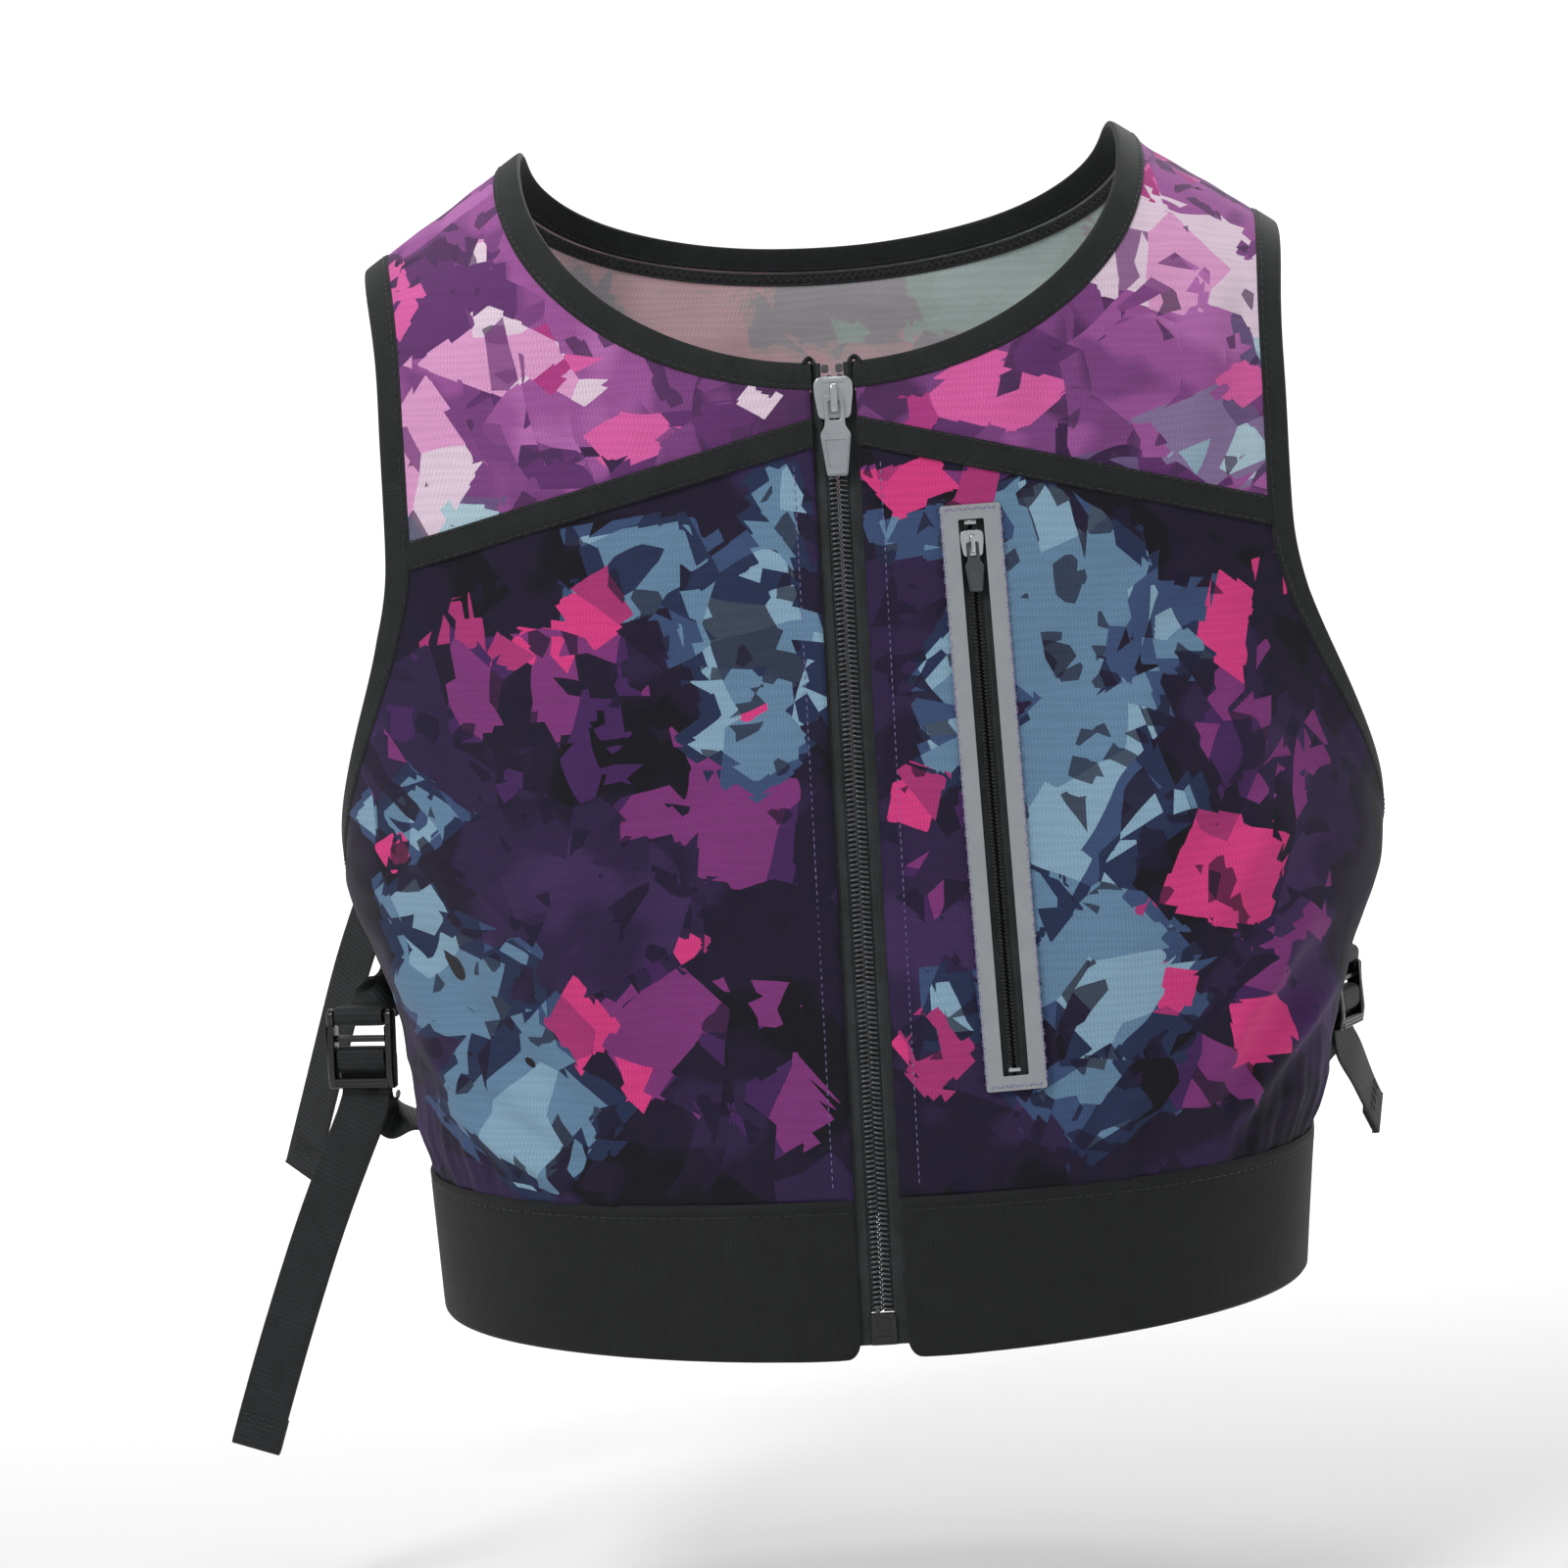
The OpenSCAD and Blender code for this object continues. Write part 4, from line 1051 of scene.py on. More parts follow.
for side in SIDES:
    steps = 92
    chest_x = ARM_X - UNDER
    outer = arm_upper(UNDER, float(ridge(chest_x) - yoke_seam_z(chest_x)), steps + 1)
    neck = neckline(UNDER, NECK_Z, PANEL_EDGE, steps)
    inner = np.concatenate([[[PANEL_EDGE, -69.3]], neck])
    inner, outer = inner[::-1], outer[::-1]
    # The zip's edge is one long step, so it is filled in evenly
    split = 14
    last_in = np.linspace(inner[-2], inner[-1], split + 1)[1:]
    last_out = np.linspace(outer[-2], outer[-1], split + 1)[1:]
    run_in = np.concatenate([inner[:-1], last_in])
    run_out = np.concatenate([outer[:-1], last_out])
    # Rows are shared out again so that both edges advance together
    share = np.linspace(0, 1, 111)
    gone_in, gone_out = lengths(run_in), lengths(run_out)
    both = 0.5 * (gone_in / gone_in[-1] + gone_out / gone_out[-1])
    inner = np.stack([np.interp(share, both, run_in[:, k]) for k in (0, 1)], -1)
    outer = np.stack([np.interp(share, both, run_out[:, k]) for k in (0, 1)], -1)
    grid = front_at(spread(inner, outer, 96))
    fade, along, down = edge_fade(grid, (6, 8, 8, 8))
    grid, fade, along = on_side(side, grid, fade, along)
    x, z = grid[..., 0], grid[..., 2]
    folds = 0.4 * ripple(x, z, SOFT) + 0.14 * ripple(x, z, FINE)
    for start, end, width, depth in YOKE_CREASES:
        folds = folds + crease(x, z, start, end, width, depth)
    print_along = along + np.abs(grid[:, -1 if side == "right" else 0, 0])[:, None]
    print_along = print_along + PRINT_SHIFT[side]
    cloth_panel(f"yoke_cloth_{side}", grid, fade, print_along, -CLOTH, 0.0, folds, yoke_print,
                [f"front_yoke_{side}"], "yoke")

# ---- Back panel, gussets, linings and pocket bag ----

neck_steps, lower_rows = 46, 110
bottom = WAIST_Z + 0.3
chest_x = float(side_x(back_arm_angle(TRUNK_Z, UNDER), TRUNK_Z))
neck_z = BACK_NECK_Z - UNDER
inner = np.concatenate([neckline(UNDER, BACK_NECK_Z, 0.6, neck_steps)[::-1],
                        [(0.6, mix(neck_z, bottom, i / lower_rows))
                         for i in range(1, lower_rows + 1)]])
z_low = mix(TRUNK_Z, bottom, np.arange(1, lower_rows + 1) / lower_rows)
outer = np.concatenate([
    arm_upper(ARM_X - chest_x, float(ridge(chest_x)) - TRUNK_Z, neck_steps)[::-1],
    np.stack([side_x(back_arm_angle(z_low, UNDER), z_low), z_low], -1)])
half = back_at(spread(inner, outer, 90))
grid = np.concatenate([half[:, ::-1], half * [-1, 1, 1]], axis=1)
# The left half's columns lie at +X, so the neck's edge is given for both halves
neck_line = back_at(neckline(UNDER, BACK_NECK_Z, 0.6, neck_steps))
neck_line = np.concatenate([neck_line, neck_line * [-1, 1, 1]])
from_neck = np.min([np.linalg.norm(grid - point, axis=-1) for point in neck_line], axis=0)
grid = settle(grid)
fade, along, down = edge_fade(grid, (8, 6, 10, 10))
fade = fade * smooth(3, 16, from_neck)
x, z = grid[..., 0], grid[..., 2]
folds = 0.9 * ripple(x, z, SOFT) + 0.18 * ripple(x, z, FINE)
for start, end, width, depth in BACK_CREASES:
    folds = folds + crease(x, z, start, end, width, depth)
keep = np.ones((grid.shape[0] - 1, grid.shape[1] - 1), bool)
keep[:neck_steps, half.shape[1] - 1] = False
# Run round the body from the middle, on each half by itself
split = half.shape[1]
inner_x = half[:, :1, 0]
along = np.concatenate([along[:, :split] - along[:, split - 1:split] - inner_x,
                        along[:, split:] - along[:, split:split + 1] + inner_x], axis=1)
cloth_panel("back_cloth", grid, fade, along, -CLOTH, 0.0, folds, back_print,
            ["back_panel"], "back", keep)


def mirrored(points, side):
    """Points of the left half, or their mirror image for the right one."""
    points = np.asarray(points, float)
    return points if side == "left" else points * [-1, 1, 1]


GUSSET_ANGLES = (86.6, 113.6)
GUSSET_TOP = (-191.8, -195.6)
LINING_DEPTH = {"left": 7.4, "right": 1.9}    # the left lining lies behind the pocket bag
POUCH_REACH = (-18, 34)                       # from the pocket's middle, towards the left

for side in SIDES:
    # The gusset's edges are tucked behind the panels' edges
    t = np.linspace(0, 1, 34)
    angles = mix(*GUSSET_ANGLES, t)
    top = mix(*GUSSET_TOP, t)
    grid = around(angles[None], mix(top[None], WAIST_Z + 0.3, np.linspace(0, 1, 60)[:, None]))
    fade, along, down = edge_fade(grid, (5, 0, 5, 5))
    grid, fade, along = on_side(side, grid, fade, along)
    grid = settle(grid)
    folds = 0.5 * ripple(grid[..., 1] + 50, grid[..., 2], SOFT) + 0.2 * ripple(
        grid[..., 1], grid[..., 2], FINE)
    cloth_panel(f"gusset_cloth_{side}", grid, fade, along, -1.5, -0.85, folds, stretch,
                [f"side_gusset_{side}"], "lower")

    depth = LINING_DEPTH[side]
    inner, outer = front_outline(15, 9.6, 60, WAIST_Z + 0.6)
    grid = front_at(spread(inner, outer, 60))
    fade, along, down = edge_fade(grid, (4, 4, 4, 4))
    grid, fade, along = on_side(side, grid, fade, along)
    grid = settle(grid)
    folds = -0.5 + 0.4 * ripple(grid[..., 0], grid[..., 2], SOFT)
    if side == "right":
        folds = np.minimum(folds, -1.0)
    cloth_panel(f"lining_cloth_{side}", grid, fade, along, -depth - 0.6, -depth, folds, lining,
                [f"front_lining_{side}"], "lower")

z = np.linspace(POCKET_Z + POCKET_HEIGHT / 2 + 2, POCKET_Z - POCKET_HEIGHT / 2 - 6, 70)
inner, outer = [np.stack([np.full_like(z, POCKET_X + reach), z], -1) for reach in POUCH_REACH]
grid = front_at(spread(inner, outer, 26))
fade, along, down = edge_fade(grid, (5, 5, 5, 5))
cloth_panel("pocket_pouch", grid, fade, along, -5.4, -4.4,
            0.25 * ripple(grid[..., 0], grid[..., 2], FINE), lining,
            ["pocket_bag"], "lower")

# ---- Bindings ----


def smoothed(line, passes, closed=False):
    """A line with its corners eased; its points keep their number."""
    line = np.array(line, float)
    for _ in range(passes):
        if closed:
            line = (np.roll(line, 1, 0) + 2 * line + np.roll(line, -1, 0)) / 4
        else:
            line[1:-1] = (line[:-2] + 2 * line[1:-1] + line[2:]) / 4
    return line


def binding(name, near, far, facing, closed, nodes):
    """Folded tape between its edge at the opening and its sewn edge."""
    near, far = np.asarray(near), np.asarray(far)
    middle = (near + far) / 2
    across = unit(far - near)
    if closed:
        along = unit(np.roll(middle, -1, 0) - np.roll(middle, 1, 0))
    else:
        along = tangents(middle)
    normals = unit(np.cross(along, across))
    if np.dot(normals[0], facing) < 0:
        normals = -normals
    run = lengths(middle)
    # The hand-guided tape wanders a little in width and height
    wander = 0.10 * np.sin(run / 17.3) + 0.07 * np.sin(run / 7.1 + 2)
    if closed:
        wander = wander * smooth(0, 20, run) * smooth(0, 20, run[-1] - run)
    width = np.linalg.norm(far - near, axis=1)
    base = superellipse(1, BINDING_LAYER, 5, 28)
    profile = np.broadcast_to(base, (len(run), 28, 2)).copy()
    profile[..., 0] *= (width + wander)[:, None]
    profile[..., 1] += (-CLOTH / 2 + 0.4 * wander)[:, None]
    # A shallow groove where the tape is stitched through
    groove = 0.16 * np.exp(-((profile[..., 0] - 0.34 * width[:, None]) / 0.45) ** 2)
    profile[..., 1] -= np.sign(profile[..., 1] + CLOTH / 2) * groove
    points, faces = sweep(middle, across, normals, profile, closed)
    flat = np.stack([np.repeat(run, 28), profile[..., 0].ravel(), profile[..., 1].ravel()], -1)
    Parts().add(points, faces, flat).make(name, binding_cloth, "vest", "binding_tape", nodes,
                                          sharp=60)
    sewn = middle + across * (0.34 * width)[:, None]
    threads = Parts()
    for sign in (1, -1):
        face = sewn + normals * (sign * 1.02 - CLOTH / 2)
        stitch_run(threads, face, normals * sign, 2.7, 1.9, 0.14)
    threads.make(name + "_stitches", black_thread, "vest", "binding_tape", sharp=0)


def neck_edge(inset, count=90):
    """The neckline from one side of the zip round to the other."""
    back = back_at(neckline(inset, BACK_NECK_Z, 1, count))
    front = front_at(neckline(inset, NECK_Z, PANEL_EDGE - 0.35, count)[::-1][1:])
    half = np.concatenate([back, front])
    return smoothed(np.concatenate([half[::-1] * [-1, 1, 1], half]), 3)


binding("neck_binding_tape", neck_edge(0), neck_edge(BINDING), (0, -1, 0), False,
        ["neck_binding"])


def arm_edge(inset, count=60):
    """The left armhole's closed edge, set in from the opening."""
    steps = np.arange(1, count + 1) / count
    front_low, back_low = -187.7 - 0.95 * inset, -191 - inset
    x_front = ARM_X - inset
    x_back = float(side_x(back_arm_angle(TRUNK_Z, inset), TRUNK_Z))
    z = mix(TRUNK_Z, front_low, steps)
    front_low_part = around(front_arm_angle(z, inset), z)
    t = np.arange(1, 20) / 20
    under = around(mix(88, 112, t), mix(front_low, back_low, t))
    z = mix(back_low, TRUNK_Z, steps - 1 / count)
    back_low_part = around(back_arm_angle(z, inset), z)
    loop = np.concatenate([
        front_at(arm_upper(inset, float(ridge(x_front)) - TRUNK_Z, count)[::-1]),
        front_low_part, under, back_low_part,
        back_at(arm_upper(ARM_X - x_back, float(ridge(x_back)) - TRUNK_Z, count)[:-1])])
    return smoothed(loop, 14, closed=True)


for side in SIDES:
    near, far = [settle(mirrored(arm_edge(inset), side)) for inset in (0, BINDING)]
    binding(f"armhole_binding_tape_{side}", near, far, (0, -0.3, 1), True,
            [f"armhole_binding_{side}"])

# Braid of cover stitching inside the back of the neck


def back_neck_line(inset):
    half = back_at(neckline(inset, BACK_NECK_Z, 1, 60))[:-4]
    return smoothed(np.concatenate([half[::-1] * [-1, 1, 1], half]), 2)


path = back_neck_line(9.4)
across = unit(back_neck_line(10.6) - back_neck_line(8.2))
normals = unit(np.cross(tangents(path), across))
if normals[len(path) // 2][1] > 0:
    normals = -normals
threads = Parts()
ground = superellipse(4.0, 0.4, 5, 20)
threads.add(*sweep(path + normals * (CLOTH + 0.15), across, normals, ground))
stitch_run(threads, path + normals * (CLOTH + 0.45), normals, 1.25, 1.3, 0.26, sway=1.0)
for offset in (-1.5, 1.5):
    stitch_run(threads, path + across * offset + normals * (CLOTH + 0.4), normals, 2.1, 1.7, 0.22)
threads.make("neck_cover_stitch", black_thread, "vest", "binding_tape", sharp=0)

for side in SIDES:
    x = np.linspace(PANEL_EDGE, 118.8, 130)
    up = np.linspace(4, -4, 13)
    flat_place = np.stack(np.broadcast_arrays(x[None], yoke_seam_z(x)[None] + up[:, None]), -1)
    grid = front_at(flat_place)
    fade, along, down = edge_fade(grid, (0, 0, 0, 0))
    grid, along = on_side(side, grid, along)
    swell = 0.55 + 0.6 * (1 - np.abs(up[:, None] / 4) ** 5) + 0.08 * np.sin(along / 6.1)
    points, faces, used = shell(grid, 0.35, swell)
    flat = np.stack([along, np.broadcast_to(up[:, None], along.shape), 0 * along], -1)
    Parts().add(points, faces, on_both_faces(flat, used)).make(
        f"seam_tape_{side}", tape_cloth, "vest", "binding_tape", [f"yoke_tape_{side}"], sharp=50)
    threads = Parts()
    n = grid_normals(grid)
    for row in (1, -2):
        stitch_run(threads, grid[row] + n[row] * 1.08, n[row], 2.8, 2.0, 0.14)
    threads.make(f"seam_tape_stitches_{side}", black_thread, "vest", "binding_tape", sharp=0)

# ---- Waistband ----

BAND_SEAM = 82


def band_shell(name, grid, nodes):
    """Piece of the waistband, with rolled edges and a sewn groove below its top."""
    fade, along, down = edge_fade(grid, (0, 0, 16, 16))
    z = grid[..., 2]
    bow = fade * (0.45 * np.sin(along / 23 + 1) + 0.25 * np.sin(along / 9.7) * smooth(0, 12, down)
                  * (1 - smooth(24, 40, down)))
    edge = np.minimum(down, down[-1:] - down)
    ends = np.minimum(along, along[:, -1:] - along)
    roll = 0.65 * (1 - smooth(0, 1.3, edge)) + 0.3 * (1 - smooth(0, 1.0, ends))
    groove = 0.22 * np.exp(-((down - 3.4) / 0.45) ** 2)
    moved = grid + grid_normals(grid) * bow[..., None]
    points, faces, used = shell(moved, -0.7 + 0.8 * roll, 0.95 - roll - groove)
    flat = np.stack([along, z, 0 * z], -1)
    Parts().add(points, faces, on_both_faces(flat, used)).make(
        name, band_cloth, "vest", "waistband_elastic", nodes, sharp=55)
    threads = Parts()
    n = grid_normals(moved)
    row = int(np.argmin(np.abs(down[:, down.shape[1] // 2] - 3.4)))
    stitch_run(threads, moved[row] + n[row] * 0.82, n[row], 2.9, 2.1, 0.14)
    threads.make(name + "_stitches", black_thread, "vest", "waistband_elastic", sharp=0)


band_z = np.concatenate([np.linspace(-276.4, -278, 5), np.linspace(-278.9, -315.6, 42),
                         np.linspace(-316, HEM_Z, 5)])
for side in SIDES:
    corner = 4.5
    rise = np.clip(corner - (band_z - HEM_Z), 0, corner)
    inner_x = PANEL_EDGE + 0.3 + corner - np.sqrt(corner ** 2 - rise ** 2)
    inner = np.stack([inner_x, band_z], -1)
    outer = np.stack([side_x(BAND_SEAM, band_z), band_z], -1)
    grid = front_at(spread(inner, outer, 110))
    grid, = on_side(side, grid)
    # The hem hangs a little lower beside the zip
    low = smooth(-300, HEM_Z, grid[..., 2]) * np.exp(-(grid[..., 0] / 75) ** 2)
    grid[..., 2] -= 2.6 * low
    band_shell(f"waistband_{side}", settle(grid), [f"waistband_front_{side}"])
angles = np.linspace(BAND_SEAM + 0.25, 360 - BAND_SEAM - 0.25, 200)
grid = settle(around(angles[None], band_z[:, None]))
band_shell("waistband_rear", grid, ["waistband_back"])

# ---- Main zip, in its own coordinates: z up the chain, -y its face ----

CHAIN = 5.8          # width of a number 5 coil chain
BOX_HEIGHT = 8.5
COIL_PITCH = 1.36


def coil(half_chain, depth, pitch, low, high, radius, phase, gap=0.25, sides=6, per_turn=16):
    """One side's wound coil: each turn crosses the face at a slant and returns behind."""
    turns = (high - low) / pitch
    t = np.linspace(0, turns, int(turns * per_turn) + 1) + phase
    a = 2 * math.pi * t
    reach = (half_chain + gap) / 2 - radius
    middle = (half_chain - gap) / 2
    c, s = np.cos(a), np.sin(a)
    x = middle + reach * np.sign(c) * np.abs(c) ** 0.8
    y = -depth * np.sign(s) * np.abs(s) ** 0.7
    z = low + (t - phase) * pitch
    path = np.stack([x, y, z], -1)
    return thread(path, radius, sides)


for side, sign in (("left", 1), ("right", -1)):
    x = np.array([0.35, 0.4, 1.5, 2.9, 3.05, 3.6, 4.2, 5.0, 5.85, 5.95, 7, 8.5, 10, 12, 13.8, 14.0])
    z = np.linspace(0, -ZIP_LENGTH, 240)
    grid = np.stack(np.broadcast_arrays(x[None], 0.0, z[:, None]), -1)
    middle_x = (x[:-1] + x[1:])[None] / 2
    middle_z = ((z[:-1] + z[1:]) / 2)[:, None]
    keep = ~((middle_x < 3) & (middle_z < -ZIP_LENGTH + BOX_HEIGHT + 0.5))
    keep &= ~((middle_x < 3) & (middle_z > -4))
    keep &= ~((middle_x > 5.9) & (middle_z > -8))
    bead = np.where(x < 3, 0.12, 0.3) + 0.28 * np.exp(-((x - 3.7) / 0.45) ** 2)
    points, faces, used = shell(grid, -bead[None], bead[None], keep)
    flat = on_both_faces(grid[..., [0, 2, 1]], used)
    Parts().add(mirrored(at_main_zip(points), side), faces, flat).make(
        f"zip_tape_{side}", zip_cloth, "vest", "zip_tape", [f"main_zip_tape_{side}"], sharp=50)
    low, high = -ZIP_LENGTH + BOX_HEIGHT + 0.8, -3.4
    phase = 0.5 if side == "right" else 0.0
    points, faces = coil(CHAIN / 2, 0.9, COIL_PITCH, low, high, 0.36, phase)
    Parts().add(mirrored(at_main_zip(points), side), faces).make(
        f"zip_coil_{side}", coil_nylon, "vest", "zip_coil", [f"main_zip_coil_{side}"], sharp=0)

# The tape's ends are turned out over the neck binding, as small ears beside the slider
for side in SIDES:
    path = rounded_path(np.array([(4.6, 0.9, -5.0), (4.7, 0.5, 0.6), (5.6, -0.1, 1.9),
                                  (6.9, -0.9, 1.3), (7.6, -1.5, -0.6)]), 0.8, 5)
    way = np.tile([0.35, -0.94, 0.0], (len(path), 1))
    t = tangents(path)
    across = unit(way - np.sum(way * t, -1, keepdims=True) * t)
    points, faces = sweep(path, across, np.cross(t, across), superellipse(3.0, 0.8, 4, 20))
    Parts().add(mirrored(at_main_zip(points), side), faces).make(
        f"zip_tape_ear_{side}", binding_cloth, "vest", "zip_tape", sharp=50)

stops = Parts()
for sign in (1, -1):
    for y in (-0.62, 0.62):
        points, faces = plate([box_outline(0.95, 2.9, -2.6, -0.4, 0.6)], 1.0, 0.25)
        stops.add(points * [sign, 1, 1] + [0, y, 0], faces)
stops.turned(at_main_zip).make("zip_top_stops", coil_nylon, "vest", "zip_coil",
                               ["main_zip_top_stops"], weighted=True)

box = Parts()
low = -ZIP_LENGTH
# Front and back walls, the two sides, two raised marks on the face and the floor
BOX_WALLS = [
    ((-3.5, 3.5, low, low + BOX_HEIGHT, 0.9), 1.3, 0.3, -1.15),
    ((-3.5, 3.5, low, low + BOX_HEIGHT, 0.9), 1.1, 0.3, 1.25),
    ((-3.5, -2.6, low, low + BOX_HEIGHT - 0.3, 0.3), 3.2, 0.2, 0),
    ((2.6, 3.5, low, low + BOX_HEIGHT - 0.3, 0.3), 3.2, 0.2, 0),
    ((-2.4, 2.4, low + 1.0, low + 2.4, 0.3), 0.5, 0.15, -1.95),
    ((-1.7, 1.7, low + 4.2, low + 7.4, 0.7), 0.4, 0.15, -1.9),
    ((-2.8, 2.8, low, low + 1.2, 0.3), 3.0, 0.2, 0),
]
for outline, depth, bevel, y in BOX_WALLS:
    box.plate([box_outline(*outline)], depth, bevel, y)
box.turned(at_main_zip).make("zip_retainer_box", box_plastic, "vest", "zip_coil",
                             ["main_zip_retainer_box"], weighted=True)
pin = Parts().plate([box_outline(-2.1, -0.7, low + 1.7, low + BOX_HEIGHT + 2.2, 0.5)], 1.5, 0.4)
pin.turned(at_main_zip).make("zip_insertion_pin", coil_nylon, "vest", "zip_coil",
                             ["main_zip_insertion_pin"], weighted=True)

SLIDER_LENGTH = 11.4
SLIDER_OUTLINE = [(-4.1, 0), (4.1, 0), (5.3, -1.4), (5.3, -4.4), (4.3, -SLIDER_LENGTH),
                  (-4.3, -SLIDER_LENGTH), (-5.3, -4.4), (-5.3, -1.4)]


def slider_parts():
    """Slider for a chain 5.8 mm wide, with its top at the origin."""
    parts = Parts()
    low = -SLIDER_LENGTH
    for way in (-1, 1):
        parts.plate([rounded(SLIDER_OUTLINE, 1.6, 6)], 0.95, 0.34, way * 2.05, resolution=4)
        for sign in (1, -1):
            flange = [(3.45 * sign, -2.2), (4.6 * sign, -2.6), (4.6 * sign, -5),
                      (4.2 * sign, low + 0.5), (3.4 * sign, low + 0.5)]
            parts.plate([rounded(flange, 0.3)], 1.1, 0.22, way * 1.2)
    divider = [(0, -0.3), (0.75, -2), (0.7, -3.4), (-0.7, -3.4), (-0.75, -2)]
    parts.plate([rounded(divider, 0.3)], 3.4, 0.2)
    # Crown: a hollow arch that the pull hangs in
    arch_outer = rounded([(-2.3, -1.8), (-5.0, -2.1), (-5.4, -3.2), (-5.4, -8.9), (-5.0, -9.9),
                          (-2.3, -10.2)], 1.0, 6)
    arch_inner = rounded([(-2.9, -3.1), (-4.5, -3.3), (-4.55, -8.7), (-2.9, -8.9)], 0.5, 5)
    parts.plate([arch_outer, arch_inner], 1.9, 0.4, axes="yzx", resolution=4)
    rim = rounded([(-2.5, -0.4), (2.5, -0.4), (3.0, -1.6), (-3.0, -1.6)], 0.5)
    return parts.plate([rim], 0.5, 0.2, -2.6)


PULL_OUTLINE = [(-2.6, 0.9), (2.6, 0.9), (2.8, -7.5), (4.2, -9.5), (2.8, -21), (-2.8, -21),
                (-4.2, -9.5), (-2.8, -7.5)]
PULL_WINDOW = [(-1.5, -5.8), (1.5, -5.8), (1.5, -0.8), (-1.5, -0.8)]


def pull_parts():
    """Pull tab with its window, and a dished grip on both faces."""
    parts = Parts().plate([rounded(PULL_OUTLINE, 0.9, 5), rounded(PULL_WINDOW, 0.5, 4)], 1.0, 0.3,
                          resolution=4)
    lip = rounded([(-3.7, -9.9), (3.7, -9.9), (2.4, -20.5), (-2.4, -20.5)], 0.7, 5)
    dish = rounded([(-2.9, -11.2), (2.9, -11.2), (2.0, -18.9), (-2.0, -18.9)], 0.5, 5)
    tip = rounded([(-2.6, -19.2), (2.6, -19.2), (2.4, -20.6), (-2.4, -20.6)], 0.4)
    for y in (-0.55, 0.55):
        parts.plate([lip, dish], 0.45, 0.16, y, resolution=3)
        parts.plate([tip], 0.7, 0.25, y, resolution=3)
    return parts


SLIDER_DROP = 4
PULL_HEIGHT = 3.6
PULL_DROP = 6
slider_parts().turned(lambda p: at_main_zip(p - [0, 0, SLIDER_DROP])).make(
    "zip_slider", slider_metal, "main_zip_slider_body", "slider_metal", ["main_zip_slider"],
    sharp=38, weighted=True)
pull_place = np.array([0, -PULL_HEIGHT, -SLIDER_DROP - PULL_DROP])
pull_parts().turned(lambda p: at_main_zip(p + pull_place)).make(
    "zip_pull", pull_metal, "main_zip_pull_body", "main_pull_grey", ["main_zip_pull"],
    sharp=38, weighted=True)

# Topstitching through the folded facings beside the zip
for side in SIDES:
    surface = panel_surfaces[side]
    n = grid_normals(surface)
    columns = np.argmin(np.abs(np.abs(surface[..., 0]) - FACING_X), axis=1)
    rows = np.arange(len(surface))
    line = surface[rows, columns].copy()
    line[:, 0] = math.copysign(FACING_X, line[0, 0])
    threads = Parts()
    stitch_run(threads, line[5:-2], n[rows, columns][5:-2], 2.1, 1.3, 0.15, lift=0.03)
    threads.make(f"facing_stitches_{side}", violet_thread, "vest", "printed_mesh", sharp=0)

# ---- Chest pocket ----

SMALL = 0.62
half_w, half_h = POCKET_WIDTH / 2, POCKET_HEIGHT / 2
frame_outline = box_outline(-half_w, half_w, -half_h, half_h, 0.8)
slot_outline = box_outline(-POCKET_SLOT / 2, POCKET_SLOT / 2, -half_h + 4, half_h - 4, 0.5)
points, faces = plate([frame_outline, slot_outline], 0.5, 0.16)
flat = points[:, [0, 2, 1]]
Parts().add(at_pocket(points + [0, -0.7, 0]), faces, flat).make(
    "pocket_trim", silver_tape, "vest", "reflective_trim", ["pocket_reflective_frame"],
    weighted=True)

tape = Parts()
for sign in (1, -1):
    x = np.linspace(0.5, 6, 9)
    z = np.linspace(-1, -POCKET_HEIGHT + 1, 90)
    grid = np.stack(np.broadcast_arrays(x[None], 0.0, z[:, None]), -1)
    points, faces, used = shell(grid, -0.2, 0.2)
    tape.add(at_pocket_chain(points * [sign, 1, 1]), faces, points[:, [0, 2, 1]])
tape.make("pocket_tape", zip_cloth, "vest", "zip_tape", ["pocket_zip_tape"])
coils = Parts()
for sign in (1, -1):
    points, faces = coil(1.9, 0.52, 1.0, -POCKET_HEIGHT + 7, -6.2, 0.2, 0.5 if sign < 0 else 0,
                         0.15, 5, 12)
    coils.add(at_pocket_chain(points * [sign, 1, 1]), faces)
coils.make("pocket_coils", box_plastic, "vest", "zip_coil", ["pocket_zip_coils"], sharp=0)
stops = Parts()
for z in (-5.4, -POCKET_HEIGHT + 4.8):
    stops.plate([box_outline(-1.75, 1.75, z, z + 1.2, 0.3)], 1.4, 0.3)
stops.turned(at_pocket_chain).make("pocket_stops", chrome, "vest", "slider_metal",
                                   ["pocket_zip_stops"], weighted=True)
POCKET_LEAD = 7
slider_parts().turned(lambda p: at_pocket_chain(p * SMALL - [0, 0, POCKET_LEAD])).make(
    "pocket_slider", chrome, "pocket_zip_slider_body", "slider_metal", ["pocket_zip_slider"],
    sharp=38, weighted=True)
pocket_pull = np.array([0, -PULL_HEIGHT * SMALL, -POCKET_LEAD - PULL_DROP * SMALL])
pull_parts().turned(lambda p: at_pocket_chain(p * SMALL + pocket_pull)).make(
    "pocket_pull", dark_metal, "pocket_zip_pull_body", "pocket_pull_grey", ["pocket_zip_pull"],
    sharp=38, weighted=True)

